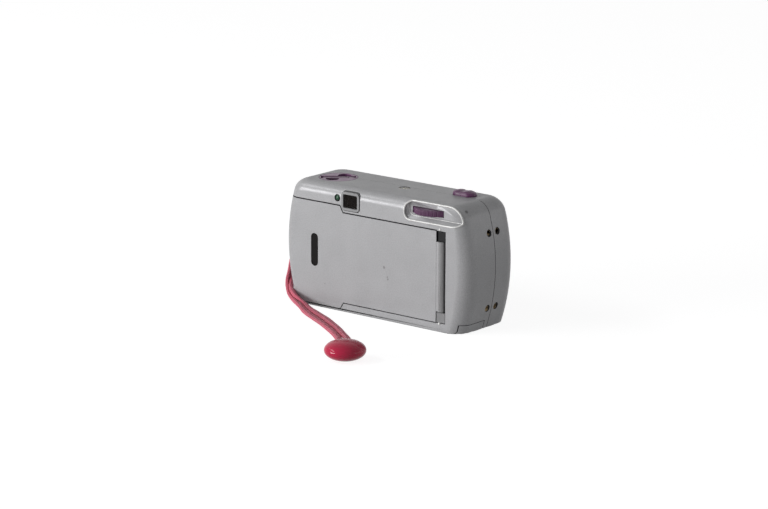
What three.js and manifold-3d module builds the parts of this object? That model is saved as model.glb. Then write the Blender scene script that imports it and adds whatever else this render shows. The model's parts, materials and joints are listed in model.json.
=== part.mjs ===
// A compact camera for 35 mm film, with a hinged back, a thumbwheel, a folding rewind crank,
// a built-in flash and a wrist strap. Millimetres; X runs to the right seen from the back,
// Y from the back to the front and Z up. The camera stands on z = 0.
import * as THREE from 'three';
import { mergeVertices } from 'three/addons/utils/BufferGeometryUtils.js';
import Module from 'manifold-3d';

const wasm = await Module();
wasm.setup();

// Fits that every piece shares
const fitGap = 0.3;
const seamWidth = 0.3;
const overrun = 6;

// Film path, from the left end to the right end
const leftMargin = 8.75;
const chamberWall = 1.2;
const cassetteBay = 25.7;
const gateWidth = 36;
const gateHeight = 24;
const sprocketTip = 5.35;
const sprocketToSpool = 11.3;
const spoolFlange = 6.5;
const spoolPlay = 0.4;
const rightMargin = 18.9;

// Heights, from the bottom to the top
const chassisFloor = 2.2;
const cellLength = 44.5;
const cellRoom = 2.7;
const filmBay = cellLength + cellRoom;
const topSpace = 11.4;

// Casing
const bodyDepth = 40;
const bodyWall = 1.6;
const endBowRadius = 88;
const widestHeight = 31;
const endTopRound = 6.5;
const backTopRound = 5.5;
const frontTopRound = 8;
const bottomRound = 1.5;
const backCornerRound = 8;
const frontCornerRound = 10;
const partingY = 1.1;

const bodyWidth = leftMargin + chamberWall + cassetteBay + chamberWall + gateWidth + chamberWall
  + fitGap + sprocketTip + sprocketToSpool + spoolFlange + spoolPlay + chamberWall + rightMargin;
const chassisTop = chassisFloor + chamberWall + filmBay + chamberWall;
const bodyHeight = chassisTop + topSpace;
const leftEnd = -bodyWidth / 2;
const backFace = -bodyDepth / 2;
const frontFace = bodyDepth / 2;
const innerBack = backFace + bodyWall;
const innerFront = frontFace - bodyWall;
const innerTop = bodyHeight - bodyWall;

// Places along the film path that follow from the sizes above
const blockLeft = leftEnd + leftMargin;
const cassetteX = blockLeft + chamberWall + cassetteBay / 2;
const gateLeft = blockLeft + chamberWall + cassetteBay + chamberWall;
const gateX = gateLeft + gateWidth / 2;
const gateRight = gateLeft + gateWidth;
const bayLeft = gateRight + chamberWall;
const sprocketX = bayLeft + fitGap + sprocketTip;
const spoolX = sprocketX + sprocketToSpool;
const bayRight = spoolX + spoolFlange + spoolPlay;
const blockRight = bayRight + chamberWall;
const lensHeight = chassisFloor + chamberWall + filmBay / 2 + chamberWall;
const filmGap = 2;
const filmPlane = innerBack + filmGap;

// Back door, with its seams as the back shows them
const doorTopDrop = 9.4;
const doorStepDrop = 3.4;
const doorStepX = -21.5;
const doorStepRun = 2;
const doorFoot = 4.6;
const doorFootStep = 2.2;
const doorFootX = -19.2;
const doorWrap = 11;
const doorRight = 39.1;

// Hinge of the back door
const hingeSetback = 2.4;
const hingeX = doorRight + hingeSetback;
const hingeInset = 1.8;
const hingeChannel = 5.7;
const barrelRadius = 2.1;
const barrelFoot = 10;
const barrelDrop = 18.4;
const barrelLength = bodyHeight - barrelDrop - barrelFoot;
const hingePinRadius = 0.75;
const hingeBlockHeight = 5.2;

// Thumbwheel and the scooped recess round it
const wheelRadius = 12;
const wheelHeight = 2.8;
const wheelDrop = 6.6;
const wheelFoot = bodyHeight - wheelDrop;
const wheelAxisInset = 10.5;
const wheelTeeth = 36;
const toothShare = 0.42;
const recessDepth = 2.6;
const recessStart = 3;
const recessSlopeX = 1.1;
const recessSlopeZ = 1.9;
const recessLeft = 19.1;
const recessDrop = 10.1;
const recessFoot = bodyHeight - recessDrop;
const recessTopDrop = 0.8;
const slotLength = 19;
const slotHeight = 3.4;
const slotFoot = wheelFoot - fitGap;

// Shutter button
const buttonX = 37.1;
const buttonY = 4.7;
const buttonLength = 13;
const buttonWidth = 8;
const buttonRise = 2.1;
const buttonTravel = 1.2;

// Rewind knob and crank
const rewindY = -3.3;
const knobRadius = 9.65;
const knobHeight = 3.6;
const crankTurn = 39;

// Solids

// A closed mesh becomes a solid: shared points are merged, flat triangles go, faces turn out.
function solidOf(geometry) {
  const bare = geometry.index ? geometry.toNonIndexed() : geometry;
  bare.deleteAttribute('normal');
  bare.deleteAttribute('uv');
  const merged = mergeVertices(bare);
  const index = merged.index.array;
  const corners = [];
  for (let i = 0; i < index.length; i += 3) {
    const [a, b, c] = [index[i], index[i + 1], index[i + 2]];
    if (a !== b && b !== c && c !== a) corners.push(a, b, c);
  }
  const build = (list) => new wasm.Manifold(new wasm.Mesh({
    numProp: 3,
    vertProperties: new Float32Array(merged.attributes.position.array),
    triVerts: new Uint32Array(list),
  }));
  const solid = build(corners);
  if (solid.volume() > 0) return solid;
  const flipped = [];
  for (let i = 0; i < corners.length; i += 3) flipped.push(corners[i], corners[i + 2], corners[i + 1]);
  return build(flipped);
}

function join(first, ...others) {
  return others.reduce((sum, other) => sum.add(other), first);
}

function cut(first, ...others) {
  return others.reduce((rest, other) => rest.subtract(other), first);
}

function box(x0, x1, y0, y1, z0, z1) {
  const geometry = new THREE.BoxGeometry(x1 - x0, y1 - y0, z1 - z0);
  return solidOf(geometry.translate((x0 + x1) / 2, (y0 + y1) / 2, (z0 + z1) / 2));
}

// Turns an outline drawn in (u, v) and run along w, so that w lies along the named axis.
const axisFrames = {
  x: new THREE.Matrix4().set(0, 0, 1, 0, 1, 0, 0, 0, 0, 1, 0, 0, 0, 0, 0, 1),
  y: new THREE.Matrix4().set(1, 0, 0, 0, 0, 0, -1, 0, 0, 1, 0, 0, 0, 0, 0, 1),
  z: new THREE.Matrix4(),
};

// An outline run from one place to another along an axis. Along x it is drawn in (y, z),
// along y in (x, z) and along z in (x, y).
function prism(axis, shape, from, to, curveSegments = 4) {
  const depth = to - from;
  const geometry = new THREE.ExtrudeGeometry(shape, { depth, bevelEnabled: false, curveSegments });
  geometry.translate(0, 0, axis === 'y' ? -to : from);
  return solidOf(geometry.applyMatrix4(axisFrames[axis]));
}

function rod(axis, radius, from, to, u, v, sides = 16, endRadius = radius) {
  const geometry = new THREE.CylinderGeometry(endRadius, radius, to - from, sides);
  geometry.translate(0, (from + to) / 2, 0);
  if (axis === 'x') geometry.rotateZ(-Math.PI / 2).translate(0, u, v);
  if (axis === 'y') geometry.translate(u, 0, v);
  if (axis === 'z') geometry.rotateX(Math.PI / 2).translate(u, v, 0);
  return solidOf(geometry);
}

function outline(points) {
  return new THREE.Shape(points.map(([u, v]) => new THREE.Vector2(u, v)));
}

function roundedOutline(u0, u1, v0, v1, round) {
  const shape = new THREE.Shape();
  shape.absarc(u1 - round, v0 + round, round, -Math.PI / 2, 0);
  shape.absarc(u1 - round, v1 - round, round, 0, Math.PI / 2);
  shape.absarc(u0 + round, v1 - round, round, Math.PI / 2, Math.PI);
  shape.absarc(u0 + round, v0 + round, round, Math.PI, 1.5 * Math.PI);
  return shape;
}

function roundedBar(axis, u0, u1, v0, v1, from, to, round, curveSegments = 4) {
  return prism(axis, roundedOutline(u0, u1, v0, v1, round), from, to, curveSegments);
}

// A solid of revolution from (radius, height) pairs, with its axis along y or z.
function turned(axis, profile, u, v, sides = 24) {
  const points = profile.map(([radius, height]) => new THREE.Vector2(radius, height));
  const geometry = new THREE.LatheGeometry(points, sides);
  if (axis === 'y') geometry.translate(u, 0, v);
  if (axis === 'z') geometry.rotateX(Math.PI / 2).translate(u, v, 0);
  return solidOf(geometry);
}

// A skin through rings of equally many points, closed by a fan at each end.
function loft(rings) {
  const count = rings[0].length;
  const index = [];
  for (let r = 0; r + 1 < rings.length; r += 1) {
    for (let i = 0; i < count; i += 1) {
      const a = r * count + i;
      const b = r * count + (i + 1) % count;
      index.push(a, b, b + count, a, b + count, a + count);
    }
  }
  const last = (rings.length - 1) * count;
  for (let i = 1; i + 1 < count; i += 1) {
    index.push(0, i + 1, i);
    index.push(last, last + i, last + i + 1);
  }
  const geometry = new THREE.BufferGeometry();
  geometry.setAttribute('position', new THREE.Float32BufferAttribute(rings.flat(2), 3));
  geometry.setIndex(index);
  return solidOf(geometry);
}

// Finishes

function finish(color, roughness, metalness = 0, opacity = 1) {
  return new THREE.MeshStandardMaterial({ color, roughness, metalness, opacity, transparent: opacity < 1 });
}

const finishes = {
  silverPaint: finish(0xacacae, 0.38, 0.35),
  brightTrim: finish(0xd2d2d4, 0.25, 0.7),
  steel: finish(0xb4b4b8, 0.3, 0.9),
  brass: finish(0x8c6a3c, 0.4, 0.8),
  blackPlastic: finish(0x141416, 0.5),
  greyPlastic: finish(0x5a5a5e, 0.5),
  plumPlastic: finish(0x55294f, 0.3),
  plumDark: finish(0x33152f, 0.3),
  smokedGlass: finish(0x0c0e12, 0.08, 0, 0.85),
  clearGlass: finish(0xdfe6ea, 0.05, 0, 0.35),
  greenLamp: finish(0x2f7a45, 0.15, 0, 0.9),
  whitePlastic: finish(0xe6e4dc, 0.5),
  boardGreen: finish(0x2c5a34, 0.6),
  batteryWrap: finish(0x2b3a6b, 0.35, 0.2),
  capacitorWrap: finish(0x1c1c20, 0.35),
  crimsonBraid: finish(0xb85068, 0.75),
  crimsonGloss: finish(0xb02850, 0.12),
};

const camera = new THREE.Group();

// Edges shorter than this close up, and faces thinner than a tenth of it swap their long edge
// with the neighbour's, so that cuts leave no slivers.
const sliver = 0.01;
const needle = sliver / 10;

function swapNeedles(points, corners) {
  const corner = (i) => new THREE.Vector3().fromArray(points, 3 * i);
  const thinness = (a, b, c) => {
    const [p, q, r] = [corner(a), corner(b), corner(c)];
    const area = q.clone().sub(p).cross(r.clone().sub(p)).length();
    return area / Math.max(p.distanceTo(q), q.distanceTo(r), r.distanceTo(p), Number.EPSILON);
  };
  const owner = new Map();
  const claim = (t) => {
    for (let k = 0; k < 3; k += 1) owner.set(`${corners[3 * t + k]},${corners[3 * t + (k + 1) % 3]}`, t);
  };
  const faces = corners.length / 3;
  for (let t = 0; t < faces; t += 1) claim(t);
  for (let t = 0; t < faces; t += 1) {
    const own = [corners[3 * t], corners[3 * t + 1], corners[3 * t + 2]];
    if (thinness(...own) > needle) continue;
    const sides = own.map((a, k) => corner(a).distanceTo(corner(own[(k + 1) % 3])));
    const k = sides.indexOf(Math.max(...sides));
    const [a, b, c] = [own[k], own[(k + 1) % 3], own[(k + 2) % 3]];
    const other = owner.get(`${b},${a}`);
    const far = [0, 1, 2].map((i) => corners[3 * other + i]).find((i) => i !== a && i !== b);
    if (owner.has(`${c},${far}`) || owner.has(`${far},${c}`)) continue;
    if (Math.min(thinness(a, far, c), thinness(far, b, c)) <= needle) continue;
    corners.set([a, far, c], 3 * t);
    corners.set([far, b, c], 3 * other);
    owner.delete(`${a},${b}`);
    owner.delete(`${b},${a}`);
    claim(t);
    claim(other);
  }
}

function addPiece(name, solid, material, parent = camera) {
  const shell = solid.simplify(sliver).getMesh();
  const geometry = new THREE.BufferGeometry();
  const points = new Float32Array(shell.vertProperties);
  const corners = new Uint32Array(shell.triVerts);
  swapNeedles(points, corners);
  geometry.setAttribute('position', new THREE.BufferAttribute(points, 3));
  geometry.setIndex(new THREE.BufferAttribute(corners, 1));
  const mesh = new THREE.Mesh(geometry, material);
  mesh.name = name;
  parent.add(mesh);
  return mesh;
}

// Casing skins

const ringCornerSteps = 4;
const sideSteps = 6;
const bottomSteps = 2;
const topSteps = 6;

function halfWidthAt(height) {
  return bodyWidth / 2 - (height - widestHeight) ** 2 / (2 * endBowRadius);
}

// How far an edge of the given radius has drawn in at a height, for a skin that lies inside by inset.
function edgeDrop(radius, rise, inset) {
  const inner = Math.max(radius - inset, 0);
  if (rise <= 0 || inner === 0) return 0;
  return inner - Math.sqrt(Math.max(inner ** 2 - rise ** 2, 0));
}

function bodyRing(height, inset) {
  const bottomDrop = edgeDrop(bottomRound, bottomRound - height, inset);
  const endDrop = edgeDrop(endTopRound, height - (bodyHeight - endTopRound), inset);
  const backDrop = edgeDrop(backTopRound, height - (bodyHeight - backTopRound), inset);
  const frontDrop = edgeDrop(frontTopRound, height - (bodyHeight - frontTopRound), inset);
  const right = halfWidthAt(height) - inset - endDrop - bottomDrop;
  const back = backFace + inset + backDrop + bottomDrop;
  const front = frontFace - inset - frontDrop - bottomDrop;
  const backRound = backCornerRound - inset - (endDrop + backDrop) / 2;
  const frontRound = frontCornerRound - inset - (endDrop + frontDrop) / 2;
  const corners = [
    [right - backRound, back + backRound, backRound, -Math.PI / 2],
    [right - frontRound, front - frontRound, frontRound, 0],
    [frontRound - right, front - frontRound, frontRound, Math.PI / 2],
    [backRound - right, back + backRound, backRound, Math.PI],
  ];
  const ring = [];
  for (const [x, y, round, start] of corners) {
    for (let i = 0; i <= ringCornerSteps; i += 1) {
      const angle = start + (i / ringCornerSteps) * Math.PI / 2;
      ring.push([x + round * Math.cos(angle), y + round * Math.sin(angle), height]);
    }
  }
  return ring;
}

function bodySkin(inset) {
  const heights = [];
  if (inset < bottomRound) {
    for (let i = 0; i < bottomSteps; i += 1) {
      const angle = (i / bottomSteps) * Math.PI / 2;
      heights.push(bottomRound - (bottomRound - inset) * Math.cos(angle));
    }
  }
  const sideFoot = Math.max(bottomRound, inset);
  const sideTop = bodyHeight - frontTopRound;
  for (let i = 0; i <= sideSteps; i += 1) heights.push(sideFoot + (i / sideSteps) * (sideTop - sideFoot));
  for (let i = 1; i <= topSteps; i += 1) {
    heights.push(sideTop + (frontTopRound - inset) * Math.sin((i / topSteps) * Math.PI / 2));
  }
  return loft(heights.map((height) => bodyRing(height, inset)));
}

const outerSkin = bodySkin(0);
const casing = outerSkin.subtract(bodySkin(bodyWall));

// A block as large as the body and more, between two places along Y
function slab(y0, y1) {
  const reach = bodyWidth / 2 + overrun;
  return box(-reach, reach, y0, y1, -overrun, bodyHeight + overrun);
}

// Outline of the back door seen from the back; grow widens it to the opening it closes.
function doorOutline(grow) {
  const left = leftEnd - overrun;
  const top = bodyHeight - doorTopDrop + grow;
  const step = top - doorStepDrop;
  const foot = doorFoot - grow;
  const low = foot - doorFootStep;
  const right = doorRight + grow;
  return outline([
    [left, low], [doorFootX - doorFootStep + grow, low], [doorFootX + grow, foot], [right, foot],
    [right, step], [doorStepX + doorStepRun + grow, step], [doorStepX + grow, top], [left, top],
  ]);
}

const doorWrapY = backFace + doorWrap;

// Screws: two heights and two depths at each end, in stepped holes
const screw = {
  headRadius: 1.55, headHeight: 0.9, shankRadius: 0.85, shankLength: 5.5, sink: 0.7, cross: 0.5,
};
const screwFootHeight = 11;
const screwDrop = 14.8;
const screwHeights = [screwFootHeight, bodyHeight - screwDrop];
const screwDepths = [-2.1, 4.5];
const screwSides = 12;
const screwBoss = 2.9;
const screwBossFloor = 1;
const screwPlaces = [];
for (const side of [-1, 1]) {
  for (const height of screwHeights) {
    for (const depth of screwDepths) screwPlaces.push({ side, height, depth });
  }
}

// The head's outer face, a little below the casing's surface
function screwSeat({ height }) {
  return halfWidthAt(height) - screw.sink;
}

function alongEnd(side, radius, inner, outer, depth, height, sides = screwSides) {
  return side > 0 ? rod('x', radius, inner, outer, depth, height, sides)
    : rod('x', radius, -outer, -inner, depth, height, sides);
}

// Stepped hole: wide for the head, narrow for the shank
function screwHole(place) {
  const seat = screwSeat(place) - screw.headHeight - fitGap;
  const wide = screw.headRadius + fitGap;
  const narrow = screw.shankRadius + fitGap;
  const deep = screwSeat(place) - screw.headHeight - screw.shankLength - fitGap;
  return join(
    alongEnd(place.side, wide, seat, bodyWidth / 2 + overrun, place.depth, place.height),
    alongEnd(place.side, narrow, deep, seat + fitGap, place.depth, place.height),
  );
}

// Boss inside the casing that the head bears on
function screwBossBody(place) {
  const inner = screwSeat(place) - screw.headHeight - fitGap - screwBossFloor;
  const outer = halfWidthAt(place.height);
  return alongEnd(place.side, screwBoss, inner, outer, place.depth, place.height).intersect(outerSkin);
}

const screwHoles = screwPlaces.map(screwHole);
const screwBosses = screwPlaces.map(screwBossBody);

function makeScrews() {
  for (const place of screwPlaces) {
    const face = screwSeat(place);
    const neck = face - screw.headHeight;
    const arm = screw.headRadius - screw.cross / 2;
    const nick = screw.headHeight / 2;
    let body = join(
      alongEnd(1, screw.headRadius, neck, face, place.depth, place.height),
      alongEnd(1, screw.shankRadius, neck - screw.shankLength, neck + nick, place.depth, place.height),
    );
    const half = screw.cross / 2;
    const crossBar = (y, z) => box(face - nick, face + nick, place.depth - y, place.depth + y,
      place.height - z, place.height + z);
    body = cut(body, crossBar(half, arm), crossBar(arm, half));
    if (place.side < 0) body = body.mirror([1, 0, 0]);
    const end = place.side < 0 ? 'left' : 'right';
    const level = place.height === screwHeights[0] ? 'lower' : 'upper';
    const row = place.depth === screwDepths[0] ? 'rear' : 'front';
    addPiece(`screw_${end}_${level}_${row}`, body, finishes.brass);
  }
}

// Hinge places
const hingeY = backFace + hingeInset;
const barrelTop = barrelFoot + barrelLength;
const channelRight = doorRight + hingeChannel;
const channelFoot = barrelFoot - hingeBlockHeight - fitGap;
const channelTop = barrelTop + hingeBlockHeight + fitGap;
const hingeClear = 0.4;
const hingeTrayWall = 0.8;
const trayInner = barrelRadius + hingeClear;
const trayOuter = trayInner + hingeTrayWall;

function hingeTray() {
  const ring = cut(
    rod('z', trayOuter, channelFoot, channelTop, hingeX, hingeY, 24),
    box(hingeX - trayOuter, blockRight + fitGap, backFace - overrun, backFace + overrun, 0, bodyHeight),
    box(hingeX - trayOuter, channelRight + trayOuter, backFace - overrun, hingeY, 0, bodyHeight),
  );
  const foot = box(hingeX + trayInner, channelRight + bodyWall, innerBack - hingeClear,
    innerBack + hingeTrayWall, channelFoot, channelTop);
  return cut(join(ring, foot), rod('z', trayInner, 0, bodyHeight, hingeX, hingeY, 24));
}

// Battery door: the casing's own skin at the right end of the bottom
const batteryDoorLeft = 40;
const batteryDoorTop = 4.6;
const batteryDoorFront = -2.2;

function batteryDoorBlock(grow) {
  return box(batteryDoorLeft - grow, bodyWidth / 2 + overrun, innerBack + fitGap - grow,
    batteryDoorFront + grow, -overrun, batteryDoorTop + grow);
}

// Scooped recess
const wheelX = spoolX;
const wheelY = backFace + wheelAxisInset;
const recessFloor = backFace + recessDepth;
const recessRound = 3.2;
const recessBacking = 1.2;
const recessSteps = 4;
const wheelClear = 0.4;

function recessRing(y, grow) {
  const slope = (recessFloor - y) / recessDepth;
  const left = recessLeft + recessSlopeX * (1 - slope) - grow;
  const foot = recessFoot + recessSlopeZ * (1 - slope) - grow;
  const top = bodyHeight - recessTopDrop + grow;
  const right = bodyWidth / 2 + overrun;
  const round = recessRound + grow;
  const ring = [[right, y, foot], [right, y, top]];
  for (const [z, start] of [[top - round, Math.PI / 2], [foot + round, Math.PI]]) {
    for (let i = 0; i <= recessSteps; i += 1) {
      const angle = start + (i / recessSteps) * Math.PI / 2;
      ring.push([left + round + round * Math.cos(angle), y, z + round * Math.sin(angle)]);
    }
  }
  return ring;
}

function recessCut() {
  return loft([recessRing(backFace - recessStart, 0), recessRing(recessFloor, 0)]);
}

// Wall behind the recess, kept inside the casing's outer skin
function recessBack() {
  const floorRing = recessRing(recessFloor, recessBacking);
  const innerRing = floorRing.map(([x, y, z]) => [x, y + recessBacking, z]);
  return loft([recessRing(backFace, recessBacking), floorRing, innerRing]).intersect(outerSkin);
}

function wheelSlot() {
  const half = slotLength / 2;
  const behind = recessFloor + recessBacking + overrun;
  return join(
    box(wheelX - half, wheelX + half, backFace, behind, slotFoot, slotFoot + slotHeight),
    rod('z', wheelRadius + wheelClear, slotFoot, slotFoot + slotHeight, wheelX, wheelY, 36),
  );
}

// Eyepiece
const eyeX = -14.6;
const eyeDrop = 6.7;
const eyeHeight = bodyHeight - eyeDrop;
const eyeWidth = 8.9;
const eyeTall = 6.8;
const eyeRim = 1.25;
const eyeRound = 1.9;
const bezelProud = 0.4;

function eyeOutline(grow) {
  const halfX = eyeWidth / 2 + grow;
  const halfZ = eyeTall / 2 + grow;
  const round = Math.max(eyeRound - eyeRim + grow, fitGap);
  return roundedOutline(eyeX - halfX, eyeX + halfX, eyeHeight - halfZ, eyeHeight + halfZ, round);
}

// Ready lamp
const lampX = -23;
const lampDrop = 5.8;
const lampHeight = bodyHeight - lampDrop;
const lampRadius = 1.55;

// Openings in the top
const counterX = 4.7;
const counterY = -1.7;
const counterLength = 5.4;
const counterWide = 4.4;
const trayWall = 1.2;
const trayFloor = bodyHeight - knobHeight - fitGap;
const sleeveRadius = 3;
const sleeveBore = 2;
const sleeveGap = 0.3;

// Share of its half width that rounds the end of a slot
const roundShare = 0.95;

function ovalOutline(x, y, length, wide, grow) {
  const halfX = length / 2 + grow;
  const halfY = wide / 2 + grow;
  return roundedOutline(x - halfX, x + halfX, y - halfY, y + halfY, roundShare * halfY);
}

// The button's outline has two lobes: a round end each side and a slight waist between them.
const buttonWaist = 0.6;
const buttonSteps = 28;
const squareShare = 0.92;

function buttonOutline(grow) {
  const square = (wave) => Math.sign(wave) * Math.abs(wave) ** squareShare;
  const points = [];
  for (let i = 0; i < buttonSteps; i += 1) {
    const angle = (i / buttonSteps) * 2 * Math.PI;
    const waist = 1 - (buttonWaist / buttonWidth) * (1 + Math.cos(4 * angle)) * Math.abs(Math.sin(angle));
    const x = (buttonLength / 2 + grow) * square(Math.cos(angle));
    const y = (buttonWidth / 2 + grow) * square(Math.sin(angle)) * waist;
    points.push([buttonX + x, buttonY + y]);
  }
  return outline(points);
}

// Latch of the back door, on the left end of the rear shell
const latch = {
  foot: 31, height: 9.6, width: 4.8, travel: 4, depth: 1, thick: 0.9, gap: 0.3, land: 0.5,
  stem: 2, stemHeight: 4,
};
const latchRear = doorWrapY + seamWidth + latch.land;
const latchPocketFoot = latch.foot - latch.travel - latch.gap;
const latchPocketTop = latch.foot + latch.height + latch.gap;
const latchFront = latchRear + latch.width + 2 * latch.gap;
const latchFloor = leftEnd + latch.depth + latch.gap;

function latchBacking() {
  return box(latchFloor, latchFloor + bodyWall, latchRear - fitGap, latchFront + bodyWall,
    latchPocketFoot - bodyWall, latchPocketTop + bodyWall).intersect(outerSkin);
}

function latchPocket() {
  const stemY = (latchRear + latchFront) / 2;
  const half = latch.stem / 2 + latch.gap;
  const stemFoot = latch.foot + (latch.height - latch.stemHeight) / 2;
  return join(
    box(leftEnd - overrun, latchFloor, latchRear, latchFront, latchPocketFoot, latchPocketTop),
    box(leftEnd - overrun, latchFloor + overrun, stemY - half, stemY + half,
      stemFoot - latch.travel - latch.gap, stemFoot + latch.stemHeight + latch.gap),
  );
}

// Strap lug on the left end
const lug = {
  y: -4, height: 22, eyeRadius: 3.2, eyeBore: 1.8, plate: 1.6, reach: 3.4, stemRadius: 1, stemLength: 3,
};
const lugX = leftEnd - lug.reach;

function makeLug() {
  const rear = lug.y - lug.plate / 2;
  const front = lug.y + lug.plate / 2;
  const neckEnd = -halfWidthAt(lug.height) - fitGap;
  const neck = lug.plate / 2 + fitGap;
  const body = join(
    rod('y', lug.eyeRadius, rear, front, lugX, lug.height, 20),
    box(lugX, neckEnd, rear, front, lug.height - neck, lug.height + neck),
    rod('x', lug.stemRadius, lugX + lug.eyeRadius - fitGap, neckEnd + bodyWall + lug.stemLength, lug.y,
      lug.height, 12),
  );
  const hole = rod('y', lug.eyeBore, rear - overrun, front + overrun, lugX, lug.height, 16);
  addPiece('strap_lug', cut(body, hole), finishes.steel);
}

// Rear shell

function makeRearShell() {
  const back = slab(backFace - overrun, partingY - seamWidth / 2);
  const open = prism('y', doorOutline(seamWidth), backFace - overrun, doorWrapY + seamWidth);
  const channel = box(doorRight, channelRight, backFace - overrun, innerBack + fitGap, channelFoot,
    channelTop);
  const shell = join(
    casing.intersect(back), recessBack(), latchBacking().intersect(back), knobTray().intersect(back),
    ...screwBosses.map((boss) => boss.intersect(back)),
  );
  const holes = [
    open, channel, recessCut(), wheelSlot(), latchPocket(), batteryDoorBlock(seamWidth),
    prism('y', eyeOutline(eyeRim + fitGap), backFace - overrun, innerBack + overrun),
    rod('y', lampRadius + fitGap, backFace - overrun, innerBack + overrun, lampX, lampHeight),
    rod('x', lug.stemRadius + fitGap, leftEnd - overrun, leftEnd + overrun, lug.y, lug.height, 12),
    prism('z', buttonOutline(fitGap), innerTop - overrun, bodyHeight + overrun),
    ...sharedHoles(),
  ];
  addPiece('rear_shell', join(cut(shell, ...holes), hingeTray()), finishes.silverPaint);
}

// Front shell, with the rails that the lens cover runs in

const lensX = gateX;
const lensOpening = 11;
const cover = {
  length: 30, height: 30, proud: 1.5, gap: 0.3, tongue: 0.4, lip: 1, travel: 27, ribs: 3, rib: 1.2,
};
const rail = { width: 2.2, slack: 0.6, reach: 1.2 };
const finder = { length: 9.6, foot: 3.6, top: 3.4, depth: 3.8, thick: 1.3, play: 1.5 };
const flash = {
  x: 32.5, length: 21, height: 9, drop: 11.2, thick: 1.5, recess: 0.1, depth: 7.7, tubeRadius: 1.7,
  wall: 0.8, tubePlay: 0.1, round: 1,
};
const flashZ = bodyHeight - flash.drop;
const bush = { y: 9, radius: 4.4, bore: 3.2, flange: 5.6, height: 6, sunk: 0.2, flangeHeight: 1 };

const coverTop = lensHeight + cover.height / 2;
const coverFoot = lensHeight - cover.height / 2;
const coverLeft = lensX - cover.length / 2;
const coverRight = lensX + cover.length / 2;

// L-shaped rail above or below the cover, drawn in (y, z)
function coverRail(sign) {
  const edge = lensHeight + sign * (cover.height / 2 + cover.gap);
  const outer = edge + sign * rail.width;
  const lip = edge - sign * cover.lip;
  const proud = frontFace + cover.proud;
  const under = frontFace + cover.gap + cover.tongue + cover.gap;
  const root = innerFront + bodyWall / 2;
  const shape = outline([
    [root, edge], [under, edge], [under, lip], [proud, lip], [proud, outer], [root, outer],
  ]);
  return prism('x', shape, coverLeft - cover.travel - rail.slack, coverRight + rail.slack + rail.reach);
}

function flashOutline(grow) {
  const halfX = flash.length / 2 + grow;
  const halfZ = flash.height / 2 + grow;
  return roundedOutline(flash.x - halfX, flash.x + halfX, flashZ - halfZ, flashZ + halfZ,
    flash.round + grow);
}

function finderOutline(grow) {
  const half = finder.length / 2 + grow;
  return roundedOutline(eyeX - half, eyeX + half, eyeHeight - finder.foot - grow,
    eyeHeight + finder.top + grow, eyeRound / 2 + grow);
}

function knobTray() {
  const radius = knobRadius + fitGap + trayWall;
  return rod('z', radius, trayFloor - trayWall, innerTop + bodyWall / 2, cassetteX, rewindY, 32);
}

// Holes that cross the seam between the two shells
function sharedHoles() {
  return [
    rod('z', knobRadius + fitGap, trayFloor, bodyHeight + overrun, cassetteX, rewindY, 40),
    rod('z', sleeveRadius + sleeveGap, trayFloor - overrun, bodyHeight, cassetteX, rewindY, 20),
    prism('z', ovalOutline(counterX, counterY, counterLength, counterWide, fitGap), innerTop - overrun,
      bodyHeight + overrun, 5),
    ...screwHoles,
  ];
}

function makeFrontShell() {
  const front = slab(partingY + seamWidth / 2, frontFace + overrun);
  const shell = join(
    casing.intersect(front), knobTray().intersect(front), coverRail(1), coverRail(-1),
    ...screwBosses.map((boss) => boss.intersect(front)),
  );
  const past = frontFace + overrun;
  const holes = [
    rod('y', lensOpening, innerFront - overrun, past, lensX, lensHeight, 40),
    prism('y', finderOutline(fitGap), frontFace - finder.depth - overrun, past),
    prism('y', flashOutline(fitGap), innerFront - fitGap, past),
    rod('z', bush.radius + fitGap, -overrun, overrun, lensX, bush.y, 24),
    prism('z', buttonOutline(fitGap), innerTop - overrun, bodyHeight + overrun),
    ...sharedHoles(),
  ];
  addPiece('front_shell', cut(shell, ...holes), finishes.silverPaint);
}

// Lens cover, lens and shutter

function makeLensCover() {
  const back = frontFace + cover.gap;
  const face = frontFace + cover.proud;
  const inset = cover.lip + cover.gap;
  const ribWidth = cover.rib;
  const slabBody = roundedBar('y', coverLeft, coverRight, coverFoot + inset, coverTop - inset, back,
    face - cover.gap, inset);
  const tongue = box(coverLeft + inset, coverRight - inset, back, back + cover.tongue, coverFoot, coverTop);
  let body = join(slabBody, tongue);
  for (let i = 0; i < cover.ribs; i += 1) {
    const x = coverRight - (2 + 2 * i) * ribWidth;
    const reach = cover.height / 4;
    const rib = box(x, x + ribWidth, back + cover.tongue, face, lensHeight - reach, lensHeight + reach);
    body = join(body, rib);
  }
  addPiece('lens_cover', body, finishes.silverPaint);
}

const shutterFront = 4;
const shutter = {
  plate: 1, size: 26, hole: 4, blade: 0.5, disc: 4.8, pivotX: 8.5, pivotDrop: 6, pin: 0.6, hub: 1.5,
};
const lightBoxFront = shutterFront;
const plateBack = lightBoxFront + fitGap;
const bladeBack = plateBack + shutter.plate + fitGap;
const barrelBack = bladeBack + shutter.blade + fitGap;
const barrel = {
  wall: 0.3, mouth: 9.2, bore: 5.2, throat: 7, lensPlay: 0.3, lensEdge: 1, lensBulge: 0.9, sunk: 0.4,
};
const frontLensY = 10.4;
const rearLens = { radius: 4.7, edge: 0.6, bulge: 0.3 };

// Share of its bulge that a lens face has at half its radius
const curveShare = 0.75;

function lensBody(radius, back, edge, bulge) {
  const half = curveShare * bulge;
  const profile = [[0, back - bulge], [radius / 2, back - half], [radius, back], [radius, back + edge],
    [radius / 2, back + edge + half], [0, back + edge + bulge]];
  return turned('y', profile, lensX, lensHeight, 28);
}

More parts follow.
